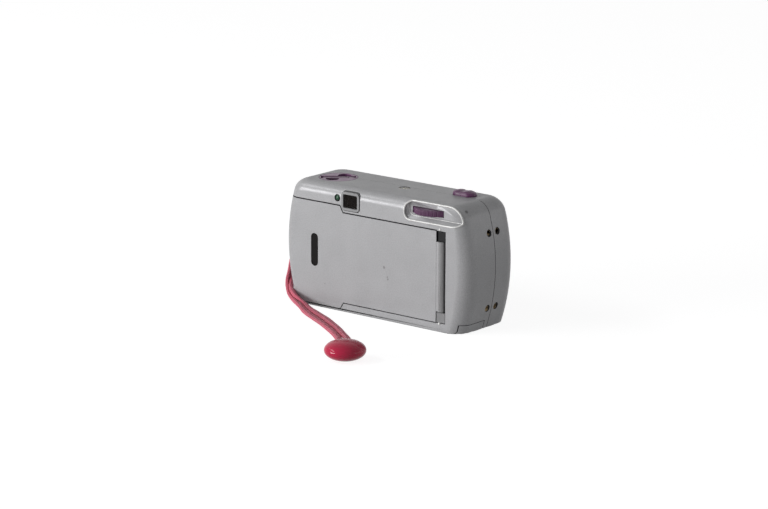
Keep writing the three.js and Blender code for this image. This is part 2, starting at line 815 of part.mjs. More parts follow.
function makeLens() {
  const outer = lensOpening - barrel.wall;
  const front = frontFace - barrel.sunk;
  const throat = barrelBack + barrel.throat;
  const profile = [[barrel.bore, barrelBack], [outer, barrelBack], [outer, front], [barrel.mouth, front],
    [barrel.bore, throat], [barrel.bore, barrelBack]];
  addPiece('lens_barrel', turned('y', profile, lensX, lensHeight, 36), finishes.blackPlastic);
  const glass = barrel.bore - barrel.lensPlay;
  const frontGlass = lensBody(glass, frontLensY, barrel.lensEdge, barrel.lensBulge);
  addPiece('front_lens', frontGlass, finishes.clearGlass);
  const rearBack = lightBoxFront - chamberWall + fitGap;
  const rear = lensBody(rearLens.radius, rearBack, rearLens.edge, rearLens.bulge);
  addPiece('rear_lens', rear, finishes.clearGlass);
}

const pivotX = lensX + shutter.pivotX;
const pivotZ = lensHeight - shutter.pivotDrop;

function makeShutter() {
  const half = shutter.size / 2;
  const front = plateBack + shutter.plate;
  const plate = cut(
    box(lensX - half, lensX + half, plateBack, front, lensHeight - half, lensHeight + half),
    rod('y', shutter.hole, plateBack - overrun, front + overrun, lensX, lensHeight, 24),
  );
  const pin = rod('y', shutter.pin, plateBack, bladeBack + shutter.blade, pivotX, pivotZ, 12);
  addPiece('shutter_plate', join(plate, pin), finishes.blackPlastic);

  const bladeFront = bladeBack + shutter.blade;
  const lean = Math.atan2(shutter.pivotDrop, shutter.pivotX);
  const reachX = shutter.hub * Math.sin(lean);
  const reachZ = shutter.hub * Math.cos(lean);
  const arm = prism('y', outline([[pivotX - reachX, pivotZ - reachZ], [pivotX + reachX, pivotZ + reachZ],
    [lensX + reachX, lensHeight + reachZ], [lensX - reachX, lensHeight - reachZ]]), bladeBack, bladeFront);
  const blade = join(
    rod('y', shutter.disc, bladeBack, bladeFront, lensX, lensHeight, 24),
    rod('y', shutter.hub, bladeBack, bladeFront, pivotX, pivotZ, 16), arm,
  );
  const bore = rod('y', shutter.pin + fitGap, bladeBack - overrun, bladeFront + overrun, pivotX,
    pivotZ, 12);
  addPiece('shutter_blade', cut(blade, bore), finishes.steel);
}

// Viewfinder and eyepiece

const tunnelWall = 0.6;
const eyeGlass = { sunk: 0.3, thick: 1.1, play: 0.25 };
const bezelDepth = 2.9;

function makeViewfinder() {
  const halfX = eyeWidth / 2;
  const halfZ = eyeTall / 2;
  const back = backFace + bezelDepth + fitGap;
  const front = frontFace - finder.depth - finder.play;
  const outer = box(eyeX - halfX - tunnelWall, eyeX + halfX + tunnelWall, back, front,
    eyeHeight - halfZ - tunnelWall, eyeHeight + halfZ + tunnelWall);
  const inner = box(eyeX - halfX, eyeX + halfX, back - overrun, front + overrun, eyeHeight - halfZ,
    eyeHeight + halfZ);
  addPiece('viewfinder_tunnel', cut(outer, inner), finishes.blackPlastic);
  const windowBack = frontFace - finder.depth;
  const glass = prism('y', finderOutline(0), windowBack, windowBack + finder.thick);
  addPiece('viewfinder_window', glass, finishes.clearGlass);

  const bezel = cut(
    prism('y', eyeOutline(eyeRim), backFace - bezelProud, backFace + bezelDepth),
    prism('y', eyeOutline(0), backFace - overrun, innerBack + overrun),
  );
  addPiece('eyepiece_bezel', bezel, finishes.brightTrim);
  const lensBack = backFace + eyeGlass.sunk;
  addPiece('eyepiece_lens', prism('y', eyeOutline(-eyeGlass.play), lensBack, lensBack + eyeGlass.thick),
    finishes.smokedGlass);
}

// The lamp's domed tip, as shares of its radius
const domeShares = [[0, 0], [0.6, 0.1], [0.9, 0.3], [1, 0.6]];

function makeReadyLamp() {
  const radius = lampRadius;
  const flange = radius + fitGap + fitGap;
  const seat = innerBack + bodyWall / 2;
  const tip = backFace - fitGap;
  const dome = domeShares.map(([out, down]) => [out * radius, tip + down * radius]);
  const profile = [...dome, [radius, seat], [flange, seat], [flange, seat + radius / 2],
    [0, seat + radius / 2]];
  addPiece('ready_lamp', turned('y', profile, lampX, lampHeight, 20), finishes.greenLamp);
}

// Flash, its board and its parts

const board = { left: 12, right: 45, foot: 5, drop: 18.2, thick: 1 };
const boardTop = bodyHeight - board.drop;
const capacitor = { x: 46, radius: 5, foot: 16, below: 3 };
const transformer = { x: 31, length: 10, depth: 7, foot: 8, height: 9, round: 1.2 };

function makeFlash() {
  const front = frontFace - flash.recess;
  addPiece('flash_window', prism('y', flashOutline(0), front - flash.thick, front), finishes.clearGlass);
  const mouth = front - flash.thick - fitGap;
  const back = mouth - flash.depth;
  const halfX = flash.length / 2 - fitGap;
  const halfZ = flash.height / 2 - fitGap / 2;
  const corner = (x, z, y) => [[flash.x - x, y, flashZ - z], [flash.x + x, y, flashZ - z],
    [flash.x + x, y, flashZ + z], [flash.x - x, y, flashZ + z]];
  const throat = flash.tubeRadius + flash.tubePlay;
  const run = overrun / flash.depth;
  const spread = (halfZ - flash.wall - throat) * run;
  const trough = cut(
    box(flash.x - halfX, flash.x + halfX, back, mouth, flashZ - halfZ, flashZ + halfZ),
    loft([corner(halfX - flash.wall, throat, back + flash.wall),
      corner(halfX - flash.wall, halfZ - flash.wall + spread, mouth + overrun)]),
  );
  addPiece('flash_reflector', trough, finishes.steel);
  const tubeReach = halfX - flash.wall - fitGap;
  const tubeY = back + flash.wall + fitGap + flash.tubeRadius;
  const tube = rod('x', flash.tubeRadius - fitGap, flash.x - tubeReach, flash.x + tubeReach, tubeY,
    flashZ, 12);
  addPiece('flash_tube', tube, finishes.clearGlass);
}

function makeBoard() {
  const face = innerFront - fitGap - board.thick;
  addPiece('circuit_board', box(board.left, board.right, face, face + board.thick, board.foot, boardTop),
    finishes.boardGreen);
  const can = rod('z', capacitor.radius, capacitor.foot, boardTop - capacitor.below, capacitor.x,
    face - fitGap - capacitor.radius, 24);
  addPiece('flash_capacitor', can, finishes.capacitorWrap);
  const half = transformer.length / 2;
  const coil = roundedBar('y', transformer.x - half, transformer.x + half, transformer.foot,
    transformer.foot + transformer.height, face - fitGap - transformer.depth, face - fitGap,
    transformer.round);
  addPiece('flash_transformer', coil, finishes.boardGreen);
}

// Battery, its door and its contacts

const battery = { x: 46.9, y: -11.2, radius: 5.25, foot: 4.9, nub: 1.9, nubHeight: 0.8 };
const contact = { half: 3.6, thick: 0.4, coil: 3, play: 0.3 };
const batteryTop = battery.foot + cellLength;

function makeBattery() {
  const shoulder = batteryTop - battery.nubHeight;
  const cell = join(
    rod('z', battery.radius, battery.foot, shoulder, battery.x, battery.y, 28),
    rod('z', battery.nub, shoulder - fitGap, batteryTop, battery.x, battery.y, 16),
  );
  addPiece('battery', cell, finishes.batteryWrap);
  const square = (z0, z1) => box(battery.x - contact.half, battery.x + contact.half,
    battery.y - contact.half, battery.y + contact.half, z0, z1);
  const upper = batteryTop + contact.play;
  addPiece('battery_contact_top', square(upper, upper + contact.thick), finishes.steel);
  const plate = bodyWall + contact.play;
  const coil = rod('z', contact.coil, plate, battery.foot - contact.play, battery.x, battery.y, 16,
    contact.coil / 2);
  addPiece('battery_contact_spring', join(square(plate, plate + contact.thick), coil), finishes.steel);
  addPiece('battery_door', casing.intersect(batteryDoorBlock(0)), finishes.silverPaint);
}

// Chassis: cassette bay, film gate with its light box, and the bay for sprocket and take-up spool

const gatePlate = 1.5;
const lightBox = { throat: 16, wall: 1.2, mouth: 5 };
const spoolY = wheelY;
const bayFront = spoolY + spoolFlange + spoolPlay;
const cassetteFront = rewindY + cassetteBay / 2;
const ear = { rear: -5.4, front: 5, half: 3 };
const ledge = { left: 36.5, right: 44, front: 10.1, thick: 1 };
const stem = { x: 40.3, y: 7.4, radius: 1.6, play: 0.3 };
const lever = {
  rear: 6.6, front: 8.2, height: 1.8, pivotX: 20, hub: 2, pin: 0.6, left: -3, right: 42, finger: 2,
};
const leverTop = chassisTop - ledge.thick - fitGap;
const leverFoot = leverTop - lever.height;
const leverZ = (leverTop + leverFoot) / 2;
const shaftRadius = 1.7;
const shelf = { right: 53, rear: -14.5, thick: 1.3 };

function rectangleRing(halfX, halfZ, y) {
  return [[gateX - halfX, y, lensHeight - halfZ], [gateX + halfX, y, lensHeight - halfZ],
    [gateX + halfX, y, lensHeight + halfZ], [gateX - halfX, y, lensHeight + halfZ]];
}

function makeChassis() {
  const top = chassisTop;
  const foot = chassisFloor;
  const wall = chamberWall;
  const bayFoot = foot + wall;
  const bayTop = bayFoot + filmBay;
  const cassetteBlock = box(blockLeft, gateLeft, filmPlane, cassetteFront + wall, foot, top);
  const gateBlock = box(gateLeft - wall, bayLeft, filmPlane, filmPlane + gatePlate, foot, top);
  const spoolBlock = box(gateRight, blockRight, filmPlane, bayFront + wall, foot, top);
  const throat = lightBox.throat / 2;
  const boxOuter = loft([
    rectangleRing(gateWidth / 2 + lightBox.wall, gateHeight / 2 + lightBox.wall, filmPlane),
    rectangleRing(throat + lightBox.wall, throat + lightBox.wall, lightBoxFront),
  ]);
  const boxInner = loft([
    rectangleRing(gateWidth / 2, gateHeight / 2, filmPlane),
    rectangleRing(throat, throat, lightBoxFront - lightBox.wall),
  ]);
  const ears = [];
  for (const side of [-1, 1]) {
    for (const height of screwHeights) {
      const reach = screwSeat({ height }) - screw.headHeight - screwBossFloor - 2 * fitGap;
      const root = side > 0 ? blockRight - wall : -blockLeft - wall;
      const [x0, x1] = side > 0 ? [root, reach] : [-reach, -root];
      ears.push(box(x0, x1, ear.rear, ear.front, height - ear.half, height + ear.half));
    }
  }
  const shelfFoot = batteryTop + contact.play + contact.thick + fitGap;
  const batteryShelf = box(blockRight - wall, shelf.right, shelf.rear, ear.rear + wall, shelfFoot,
    shelfFoot + shelf.thick);
  const springLedge = box(ledge.left, ledge.right, bayFront, ledge.front, top - ledge.thick, top);
  const counterArm = box(counter.x - counter.arm, bayLeft, counter.y - counter.arm, counter.y + counter.arm,
    top - wall, top);
  const post = join(
    rod('y', lever.hub - lever.pin, bayFront, lever.rear - fitGap, lever.pivotX, leverZ, 16),
    rod('y', lever.pin, bayFront, lever.front + fitGap, lever.pivotX, leverZ, 12),
  );
  const body = join(cassetteBlock, gateBlock, spoolBlock, boxOuter, batteryShelf, springLedge, counterArm,
    post, ...ears);
  const past = filmPlane - overrun;
  const holes = [
    box(blockLeft + wall, gateLeft - wall, past, cassetteFront, bayFoot, bayTop),
    box(bayLeft, bayRight, past, bayFront, bayFoot, bayTop),
    boxInner,
    box(gateX - gateWidth / 2, gateX + gateWidth / 2, past, filmPlane + fitGap, lensHeight - gateHeight / 2,
      lensHeight + gateHeight / 2),
    rod('y', lightBox.mouth, filmPlane + gatePlate, lightBoxFront + overrun, lensX, lensHeight, 28),
    rod('z', shaftRadius + fitGap, bayTop - wall, top + overrun, cassetteX, rewindY, 16),
    rod('z', spoolShaft + fitGap, bayTop - wall, top + overrun, spoolX, spoolY, 16),
    rod('z', spoolPin + fitGap, foot - overrun, bayFoot + wall, spoolX, spoolY, 12),
    rod('z', spoolPin + fitGap, bayTop - wall, top + overrun, sprocketX, sprocketY, 12),
    rod('z', spoolPin + fitGap, foot - overrun, bayFoot + wall, sprocketX, sprocketY, 12),
    rod('z', barrelRadius + 2 * fitGap, 0, bodyHeight, hingeX, hingeY, 24),
    rod('z', stem.radius + stem.play, leverTop, top + overrun, stem.x, stem.y, 16),
    rod('z', counter.spindle + fitGap, top - 2 * wall, top + overrun, counter.x, counter.y, 12),
    ...screwHoles,
  ];
  addPiece('chassis', cut(body, ...holes), finishes.blackPlastic);
}

// Take-up spool, sprocket, thumbwheel and frame counter

const spoolShaft = 2;
const spoolPin = 1.5;
const spool = { core: 4.5, flange: 1.2, play: 0.5, slotWidth: 1.2, slotDepth: 3 };
const sprocketY = -11.2;
const sprocket = { drum: 4.55, shaft: 2, wheel: 2.4, teeth: 6, tooth: 1.5, rowSpacing: 28.2 };
const counter = { x: 10, y: 0, radius: 8, thick: 0.8, drop: 0.9, spindle: 1, arm: 2.5 };
const hubGap = 0.5;

function toothedOutline(x, y, root, tip, count, toothAngle) {
  const points = [];
  const step = (2 * Math.PI) / count;
  for (let i = 0; i < count; i += 1) {
    for (const [radius, offset] of [[root, -toothAngle], [tip, -toothAngle / 2], [tip, toothAngle / 2],
      [root, toothAngle]]) {
      const angle = i * step + offset;
      points.push([x + radius * Math.cos(angle), y + radius * Math.sin(angle)]);
    }
  }
  return outline(points);
}

function makeWinding() {
  const bayFoot = chassisFloor + chamberWall;
  const bayTop = bayFoot + filmBay;
  const foot = bayFoot + spool.play;
  const top = bayTop - spool.play;
  const at = [spoolX, spoolY];
  const hubFoot = chassisTop + hubGap + fitGap;
  const reel = join(
    rod('z', spool.core, foot, top, ...at, 24),
    rod('z', spoolFlange, foot, foot + spool.flange, ...at, 24),
    rod('z', spoolFlange, top - spool.flange, top, ...at, 24),
    rod('z', spoolPin, chassisFloor, foot + spool.flange, ...at, 12),
    rod('z', spoolShaft, top - spool.flange, hubFoot - fitGap, ...at, 16),
  );
  const slotHalf = spool.slotWidth / 2;
  const filmSlot = box(spoolX - spool.core - overrun, spoolX - spool.core + spool.slotDepth,
    spoolY - slotHalf, spoolY + slotHalf, foot + 2 * spool.flange, top - 2 * spool.flange);
  addPiece('take_up_spool', cut(reel, filmSlot), finishes.blackPlastic);

  const toothAngle = toothShare * Math.PI / wheelTeeth;
  const knurl = toothedOutline(wheelX, wheelY, wheelRadius - fitGap, wheelRadius, wheelTeeth,
    2 * toothAngle);
  const wheel = join(
    prism('z', knurl, wheelFoot, wheelFoot + wheelHeight),
    rod('z', 2 * spoolShaft, hubFoot, wheelFoot + fitGap, ...at, 20),
  );
  addPiece('thumbwheel', wheel, finishes.plumPlastic);

  const rows = [lensHeight - sprocket.rowSpacing / 2, lensHeight + sprocket.rowSpacing / 2];
  const teeth = toothedOutline(sprocketX, sprocketY, sprocket.drum, sprocketTip, sprocket.teeth,
    sprocket.tooth / sprocket.drum / 2);
  const shaft = join(
    rod('z', sprocket.shaft, foot, top, sprocketX, sprocketY, 16),
    rod('z', spoolPin, chassisFloor, chassisTop, sprocketX, sprocketY, 12),
  );
  const half = sprocket.wheel / 2;
  const wheels = rows.map((z) => prism('z', teeth, z - half, z + half));
  addPiece('film_sprocket', join(shaft, ...wheels), finishes.whitePlastic);
}

function makeCounter() {
  const top = innerTop - counter.drop;
  const dial = join(
    rod('z', counter.radius, top - counter.thick, top, counter.x, counter.y, 40),
    rod('z', counter.spindle, chassisTop - chamberWall, top, counter.x, counter.y, 12),
  );
  addPiece('counter_dial', dial, finishes.whitePlastic);
  const glass = prism('z', ovalOutline(counterX, counterY, counterLength, counterWide, 0), innerTop - fitGap,
    bodyHeight - fitGap / 2, 5);
  addPiece('counter_window', glass, finishes.clearGlass);
}

// Shutter button, its spring and the lever under it

const flange = { end: 1, rear: 2, front: 1, thick: 0.7, gap: 0.3 };
const springWall = 0.7;
const domeSteps = [[1, 1], [0.33, 2.5], [0, 4.5]];

function buttonRing(z, grow) {
  const shape = buttonOutline(grow);
  return shape.getPoints(1).slice(0, buttonSteps).map(({ x, y }) => [x, y, z]);
}

function makeButton() {
  const top = bodyHeight + buttonRise;
  const collar = innerTop - flange.gap;
  const foot = collar - flange.thick;
  const edge = buttonRise / 6;
  const cap = loft([
    buttonRing(foot, 0), buttonRing(top - 3 * edge, 0),
    ...domeSteps.map(([down, inset]) => buttonRing(top - down * edge, -inset * edge)),
  ]);
  const halfX = buttonLength / 2 + flange.end;
  const plate = box(buttonX - halfX, buttonX + halfX, buttonY - flange.rear,
    buttonY + buttonWidth / 2 + flange.front, foot, collar);
  const stemFoot = leverTop + fitGap;
  const body = join(cap, plate, rod('z', stem.radius, stemFoot, foot + fitGap, stem.x, stem.y, 16));
  addPiece('shutter_button', body, finishes.plumPlastic);

  const springFoot = chassisTop + buttonTravel + fitGap;
  const bore = stem.radius + fitGap;
  const coil = cut(
    rod('z', bore + springWall, springFoot, foot - fitGap, stem.x, stem.y, 20),
    rod('z', bore, springFoot - overrun, foot + overrun, stem.x, stem.y, 20),
  );
  addPiece('button_spring', coil, finishes.steel);
}

function makeLever() {
  const fingerFoot = lensHeight + lensOpening + 2 * fitGap;
  const body = join(
    box(lever.left, lever.right, lever.rear, lever.front, leverFoot, leverTop),
    rod('y', lever.hub, lever.rear, lever.front, lever.pivotX, leverZ, 16),
    box(lever.left, lever.left + lever.finger, lever.rear, lever.front, fingerFoot, leverTop),
  );
  const bore = rod('y', lever.pin + fitGap, lever.rear - overrun, lever.front + overrun, lever.pivotX,
    leverZ, 12);
  addPiece('release_lever', cut(body, bore), finishes.steel);
}

// Rewind knob with its folding crank, made in their own frame and turned together

const crank = {
  reach: 15.6, width: 4.4, thick: 1.6, sunk: 0.2, hingeX: -7.2, pin: 0.5, gripRadius: 1.4, gripX: 6.4,
};
const knobSlot = { end: 8.8, play: 0.3, scoopX: 3, scoopY: 3.9, scoopRadius: 3.4, scoopDepth: 1.6 };
const fork = { length: 14, thick: 0.9, half: 1.45 };

function makeRewind() {
  const group = new THREE.Group();
  group.position.set(cassetteX, rewindY, 0);
  group.rotation.z = THREE.MathUtils.degToRad(crankTurn);
  camera.add(group);

  const foot = bodyHeight - knobHeight;
  const barTop = bodyHeight - crank.sunk;
  const barFoot = barTop - crank.thick;
  const hinge = (barTop + barFoot) / 2;
  const half = crank.width / 2;
  const pinReach = half + knobSlot.play + 3 * crank.pin;
  const slotHalf = half + knobSlot.play;
  const scoopFoot = bodyHeight - knobSlot.scoopDepth;
  const scoopAt = (x, y) => rod('z', knobSlot.scoopRadius, scoopFoot, bodyHeight + overrun, x, y, 20);
  const knob = cut(
    rod('z', knobRadius, foot, bodyHeight, 0, 0, 40),
    box(-knobSlot.end, knobSlot.end, -slotHalf, slotHalf, barFoot - knobSlot.play, bodyHeight + overrun),
    scoopAt(knobSlot.scoopX, knobSlot.scoopY),
    scoopAt(-knobSlot.scoopX, -knobSlot.scoopY),
    rod('y', crank.pin + fitGap / 2, -pinReach - fitGap, pinReach + fitGap, crank.hingeX, hinge, 12),
  );
  addPiece('rewind_knob', knob, finishes.plumPlastic, group);

  const barEnd = crank.hingeX + crank.reach;
  const bar = join(
    box(crank.hingeX, barEnd, -half, half, barFoot, barTop),
    rod('y', crank.thick / 2, -half, half, crank.hingeX, hinge, 16),
  );
  const crankBody = cut(
    bar,
    rod('y', crank.pin + fitGap / 2, -overrun, overrun, crank.hingeX, hinge, 12),
    rod('z', crank.gripRadius + fitGap, barFoot - overrun, barTop + overrun, crank.gripX, 0, 20),
  );
  addPiece('rewind_crank', crankBody, finishes.plumPlastic, group);
  const grip = rod('z', crank.gripRadius, barFoot, barTop, crank.gripX, 0, 20);
  addPiece('crank_grip', grip, finishes.plumDark, group);
  const pin = rod('y', crank.pin, -pinReach, pinReach, crank.hingeX, hinge, 12);
  addPiece('crank_pin', pin, finishes.steel, group);

  const shaftTop = foot - fitGap;
  const bayTop = chassisTop - chamberWall;
  const shaft = join(
    rod('z', shaftRadius, bayTop - fork.length / 4, shaftTop, 0, 0, 20),
    box(-fork.half, fork.half, -fork.thick / 2, fork.thick / 2, bayTop - fork.length / 2,
      bayTop - fork.length / 4 + fitGap),
  );
  addPiece('rewind_shaft', shaft, finishes.steel, group);
  const sleeve = cut(
    rod('z', sleeveRadius, chassisTop + fitGap, shaftTop, 0, 0, 20),
    rod('z', sleeveBore, chassisTop - overrun, shaftTop + overrun, 0, 0, 20),
  );
  addPiece('rewind_sleeve', sleeve, finishes.steel, group);
}

// Back door and what it carries

const sight = { x: -37.75, halfWidth: 1.95, foot: 20.9, top: 37, sunk: 0.3, lip: 1, lipThick: 0.6 };
const pressure = { halfX: 18.5, halfZ: 16.5, thick: 0.6, leafX: 14, leafZ: 4, hole: 1.5 };

function paneOutline(grow) {
  const half = sight.halfWidth + grow;
  return roundedOutline(sight.x - half, sight.x + half, sight.foot - grow, sight.top + grow,
    roundShare * half);
}

function makeDoor() {
  const block = prism('y', doorOutline(0), backFace - overrun, doorWrapY);
  const opening = prism('y', paneOutline(fitGap), backFace - overrun, innerBack + overrun);
  addPiece('back_door', cut(casing.intersect(block), opening), finishes.silverPaint);

  const seat = innerBack + fitGap;
  const glass = join(
    prism('y', paneOutline(0), backFace + sight.sunk, seat + sight.lipThick / 2),
    prism('y', paneOutline(sight.lip), seat, seat + sight.lipThick),
  );
  addPiece('cassette_window', glass, finishes.smokedGlass);

  const plateFront = filmPlane - fitGap;
  const pressureBack = plateFront - pressure.thick;
  const plate = box(gateX - pressure.halfX, gateX + pressure.halfX, pressureBack, plateFront,
    lensHeight - pressure.halfZ, lensHeight + pressure.halfZ);
  addPiece('pressure_plate', plate, finishes.steel);
  const leafFront = pressureBack - fitGap;
  const leafBack = seat;
  const leafHole = (x) => rod('y', pressure.hole, leafBack - overrun, leafFront + overrun, x,
    lensHeight, 12);
  const leaf = cut(
    box(gateX - pressure.leafX, gateX + pressure.leafX, leafBack, leafFront, lensHeight - pressure.leafZ,
      lensHeight + pressure.leafZ),
    leafHole(gateX - pressure.leafX / 2),
    leafHole(gateX + pressure.leafX / 2),
  );
  addPiece('pressure_spring', leaf, finishes.steel);
}

const hingeBlock = { sunk: 0.1, thick: 0.8, holeSink: 4.2 };

function makeHinge() {
  const barrelBody = cut(
    rod('z', barrelRadius, barrelFoot, barrelTop, hingeX, hingeY, 28),
    rod('z', hingePinRadius + fitGap, barrelFoot - overrun, barrelTop + overrun, hingeX, hingeY, 14),
  );
  addPiece('hinge_barrel', barrelBody, finishes.steel);
  const holeFoot = barrelFoot - fitGap - hingeBlock.holeSink;
  const holeTop = barrelTop + fitGap + hingeBlock.holeSink;
  addPiece('hinge_pin', rod('z', hingePinRadius, holeFoot + fitGap, holeTop - fitGap, hingeX, hingeY, 14),
    finishes.steel);
  const hole = rod('z', hingePinRadius + fitGap, holeFoot, holeTop, hingeX, hingeY, 14);
  const face = backFace + hingeBlock.sunk;
  const blockAt = (z0, z1) => cut(
    join(
      rod('z', barrelRadius, z0, z1, hingeX, hingeY, 28),
      box(hingeX, channelRight - fitGap, face, face + hingeBlock.thick, z0, z1),
    ),
    box(hingeX - hingeChannel, hingeX + hingeChannel, backFace - overrun, face, z0 - overrun, z1 + overrun),
    hole,
  );
  addPiece('hinge_block_top', blockAt(barrelTop + fitGap, channelTop - fitGap), finishes.blackPlastic);
  addPiece('hinge_block_bottom', blockAt(channelFoot + fitGap, barrelFoot - fitGap), finishes.greyPlastic);
}

function makeLatch() {
  const stemY = (latchRear + latchFront) / 2;
  const half = latch.stem / 2;
  const stemFoot = latch.foot + (latch.height - latch.stemHeight) / 2;
  const skin = latchFloor - latch.gap;
  const inner = latchFloor + bodyWall + latch.gap;
  const body = join(
    box(skin - latch.thick, skin, latchRear + latch.gap, latchFront - latch.gap, latch.foot,
      latch.foot + latch.height),
    box(skin - fitGap, inner + fitGap, stemY - half, stemY + half, stemFoot, stemFoot + latch.stemHeight),
    box(inner, inner + latch.depth, stemY - latch.stem, stemY + latch.stem, stemFoot,
      stemFoot + latch.stemHeight),
  );
  addPiece('door_latch', body, finishes.greyPlastic);
}

function makeTripodBush() {
  const top = bush.sunk + bush.height;
  const rest = bodyWall + fitGap;
  const ring = cut(
    join(
      rod('z', bush.radius, bush.sunk, top, lensX, bush.y, 24),
      rod('z', bush.flange, rest, rest + bush.flangeHeight, lensX, bush.y, 24),
    ),
    rod('z', bush.bore, -overrun, top + overrun, lensX, bush.y, 24),
  );
  addPiece('tripod_bush', ring, finishes.brass);
}

// Wrist strap: two strands from the lug to the bead

const strandRadius = 1.05;
const strandSides = 8;
const strandSteps = 26;
const bead = { x: 38.1, y: -87.3, radius: 10, half: 4.9, steps: 8 };

const outerRoute = [
  [-62.4, -5.1, 22], [-62.5, -7.2, 21.3], [-62.6, -8.3, 17.8], [-62.7, -9.4, 13.7],
  [-62.2, -11.1, 10.6], [-61, -13.2, 8.1], [-59.4, -16, 5.4], [-56, -19.9, 3.8], [-50.9, -23.7, 2.6],
  [-43.5, -27.7, 1.7], [-36.6, -31.2, 1.2], [-31.2, -33.7, 1.1], [-24.9, -37.4, 1.1],
  [-17.8, -42, 1.1], [-9.6, -47.5, 1.1], [-1.2, -53, 1.1], [6.8, -58.2, 1.1], [14, -63.4, 1.2],
  [20.1, -69, 1.7], [25.2, -74.6, 2.8], [30.2, -80.1, 4.5],
];
const innerRoute = [
  [-62.4, -2.8, 22], [-62.5, -1.1, 21.4], [-62.8, -1.2, 18.2], [-62.5, -3.6, 15.2],
  [-61.7, -6.5, 12.7], [-60.6, -9.2, 10.2], [-59.1, -11.7, 7.8], [-56.8, -15.1, 5.6],
  [-53, -19.1, 4.2], [-46.8, -22.9, 3], [-39.9, -26.3, 1.9], [-32.4, -29.8, 1.2], [-24.7, -34.2, 1.1],
  [-15.8, -39.2, 1.1], [-7.4, -44, 1.1], [1.3, -49.4, 1.1], [9.2, -54.6, 1.1], [16.7, -59.9, 1.2],
  [22.9, -65.9, 1.7], [28.2, -72, 2.8], [33.3, -77.7, 4.5],
];

function makeStrand(name, route) {
  const path = new THREE.CatmullRomCurve3(route.map((point) => new THREE.Vector3(...point)));
  const points = [];
  for (let i = 0; i < strandSides; i += 1) {
    const angle = ((i + 0.5) / strandSides) * 2 * Math.PI;
    points.push([strandRadius * Math.cos(angle), strandRadius * Math.sin(angle)]);
  }
  const tube = new THREE.ExtrudeGeometry(outline(points), {
    steps: strandSteps, bevelEnabled: false, extrudePath: path,
  });
  addPiece(name, solidOf(tube), finishes.crimsonBraid);
}

function makeStrap() {
  makeStrand('strap_strand_outer', outerRoute);
  makeStrand('strap_strand_inner', innerRoute);
  const profile = [];
  for (let i = 0; i <= bead.steps; i += 1) {
    const angle = (i / bead.steps) * Math.PI - Math.PI / 2;
    const radius = i === 0 || i === bead.steps ? 0 : bead.radius * Math.cos(angle);
    profile.push([radius, bead.half * (1 + Math.sin(angle))]);
  }
  addPiece('strap_bead', turned('z', profile, bead.x, bead.y, 28), finishes.crimsonGloss);
}

makeRearShell();
makeFrontShell();
makeScrews();
makeLug();
makeChassis();
makeDoor();
makeHinge();
makeLatch();
makeViewfinder();
makeReadyLamp();
makeWinding();
makeCounter();
makeButton();
makeLever();
makeRewind();
makeLensCover();
makeLens();
makeShutter();
makeFlash();
makeBoard();
makeBattery();
makeTripodBush();
makeStrap();

export default camera;
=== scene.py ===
import json
import math

import bmesh
import bpy
import numpy as np
from mathutils import Matrix, Quaternion, Vector


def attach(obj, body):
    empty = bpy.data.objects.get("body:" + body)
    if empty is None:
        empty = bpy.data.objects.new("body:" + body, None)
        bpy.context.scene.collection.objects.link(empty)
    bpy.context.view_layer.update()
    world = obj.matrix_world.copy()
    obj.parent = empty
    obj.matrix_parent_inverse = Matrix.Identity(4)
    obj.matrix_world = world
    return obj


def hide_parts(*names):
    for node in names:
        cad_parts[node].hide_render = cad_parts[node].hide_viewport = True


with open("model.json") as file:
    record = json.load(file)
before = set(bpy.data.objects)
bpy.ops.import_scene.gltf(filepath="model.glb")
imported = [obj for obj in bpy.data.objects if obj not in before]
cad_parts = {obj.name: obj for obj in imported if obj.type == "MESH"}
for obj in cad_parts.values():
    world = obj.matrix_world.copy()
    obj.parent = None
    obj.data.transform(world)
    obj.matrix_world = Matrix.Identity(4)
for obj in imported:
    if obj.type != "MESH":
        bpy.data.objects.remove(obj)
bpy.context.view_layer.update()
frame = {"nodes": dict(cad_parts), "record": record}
mm = 0.001
weld = 2e-6  # metres: corners nearer than this are one
scene = bpy.context.scene
bodyOf = {node: body for body, nodes in frame["record"]["behaviour"]["bodies"].items() for node in nodes}
slotOf = {row["node"]: row["material_slot"] for row in frame["record"]["subparts"]}
print("frame loaded:", len(frame["nodes"]), "nodes")


# Viewpoint of the photograph: behind the camera, towards its right end and a little above it

view = {
    "turn": 39.07,  # degrees round from straight behind, towards the right end
    "height": 13.76,
    "distance": 1.58328,  # metres, as are side and rise
    "side": -0.0074,
    "rise": 0.02767,
    "roll": 0.2,  # degrees, anticlockwise as the camera looks
    "lens": 149.49,
}


def aimCamera(v):
    # back = unit vector from the object to the camera; right is level; up closes the frame
    a, e = math.radians(v["turn"]), math.radians(v["height"])
    back = Vector((math.sin(a) * math.cos(e), -math.cos(a) * math.cos(e), math.sin(e)))
    right = Vector((math.cos(a), math.sin(a), 0))
    up = back.cross(right)
    place = back * v["distance"] + right * v["side"] + up * v["rise"]
    right.rotate(Quaternion(back, math.radians(v["roll"])))
    up = back.cross(right)
    data = bpy.data.cameras.new("viewCamera")
    data.lens = v["lens"]
    data.sensor_width = 36
    data.clip_start, data.clip_end = 0.05, 50
    cam = bpy.data.objects.new("viewCamera", data)
    turn = Matrix((right, up, back)).transposed().to_4x4()
    cam.matrix_world = Matrix.Translation(place) @ turn
    scene.collection.objects.link(cam)
    scene.camera = cam


aimCamera(view)
scene.view_settings.view_transform = "Standard"
print("camera placed")


# Mesh and material helpers

def linkPiece(name, mesh, body, material=None):
    piece = bpy.data.objects.new(name, mesh)
    scene.collection.objects.link(piece)
    if material:
        mesh.materials.append(material)
    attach(piece, body)
    return piece


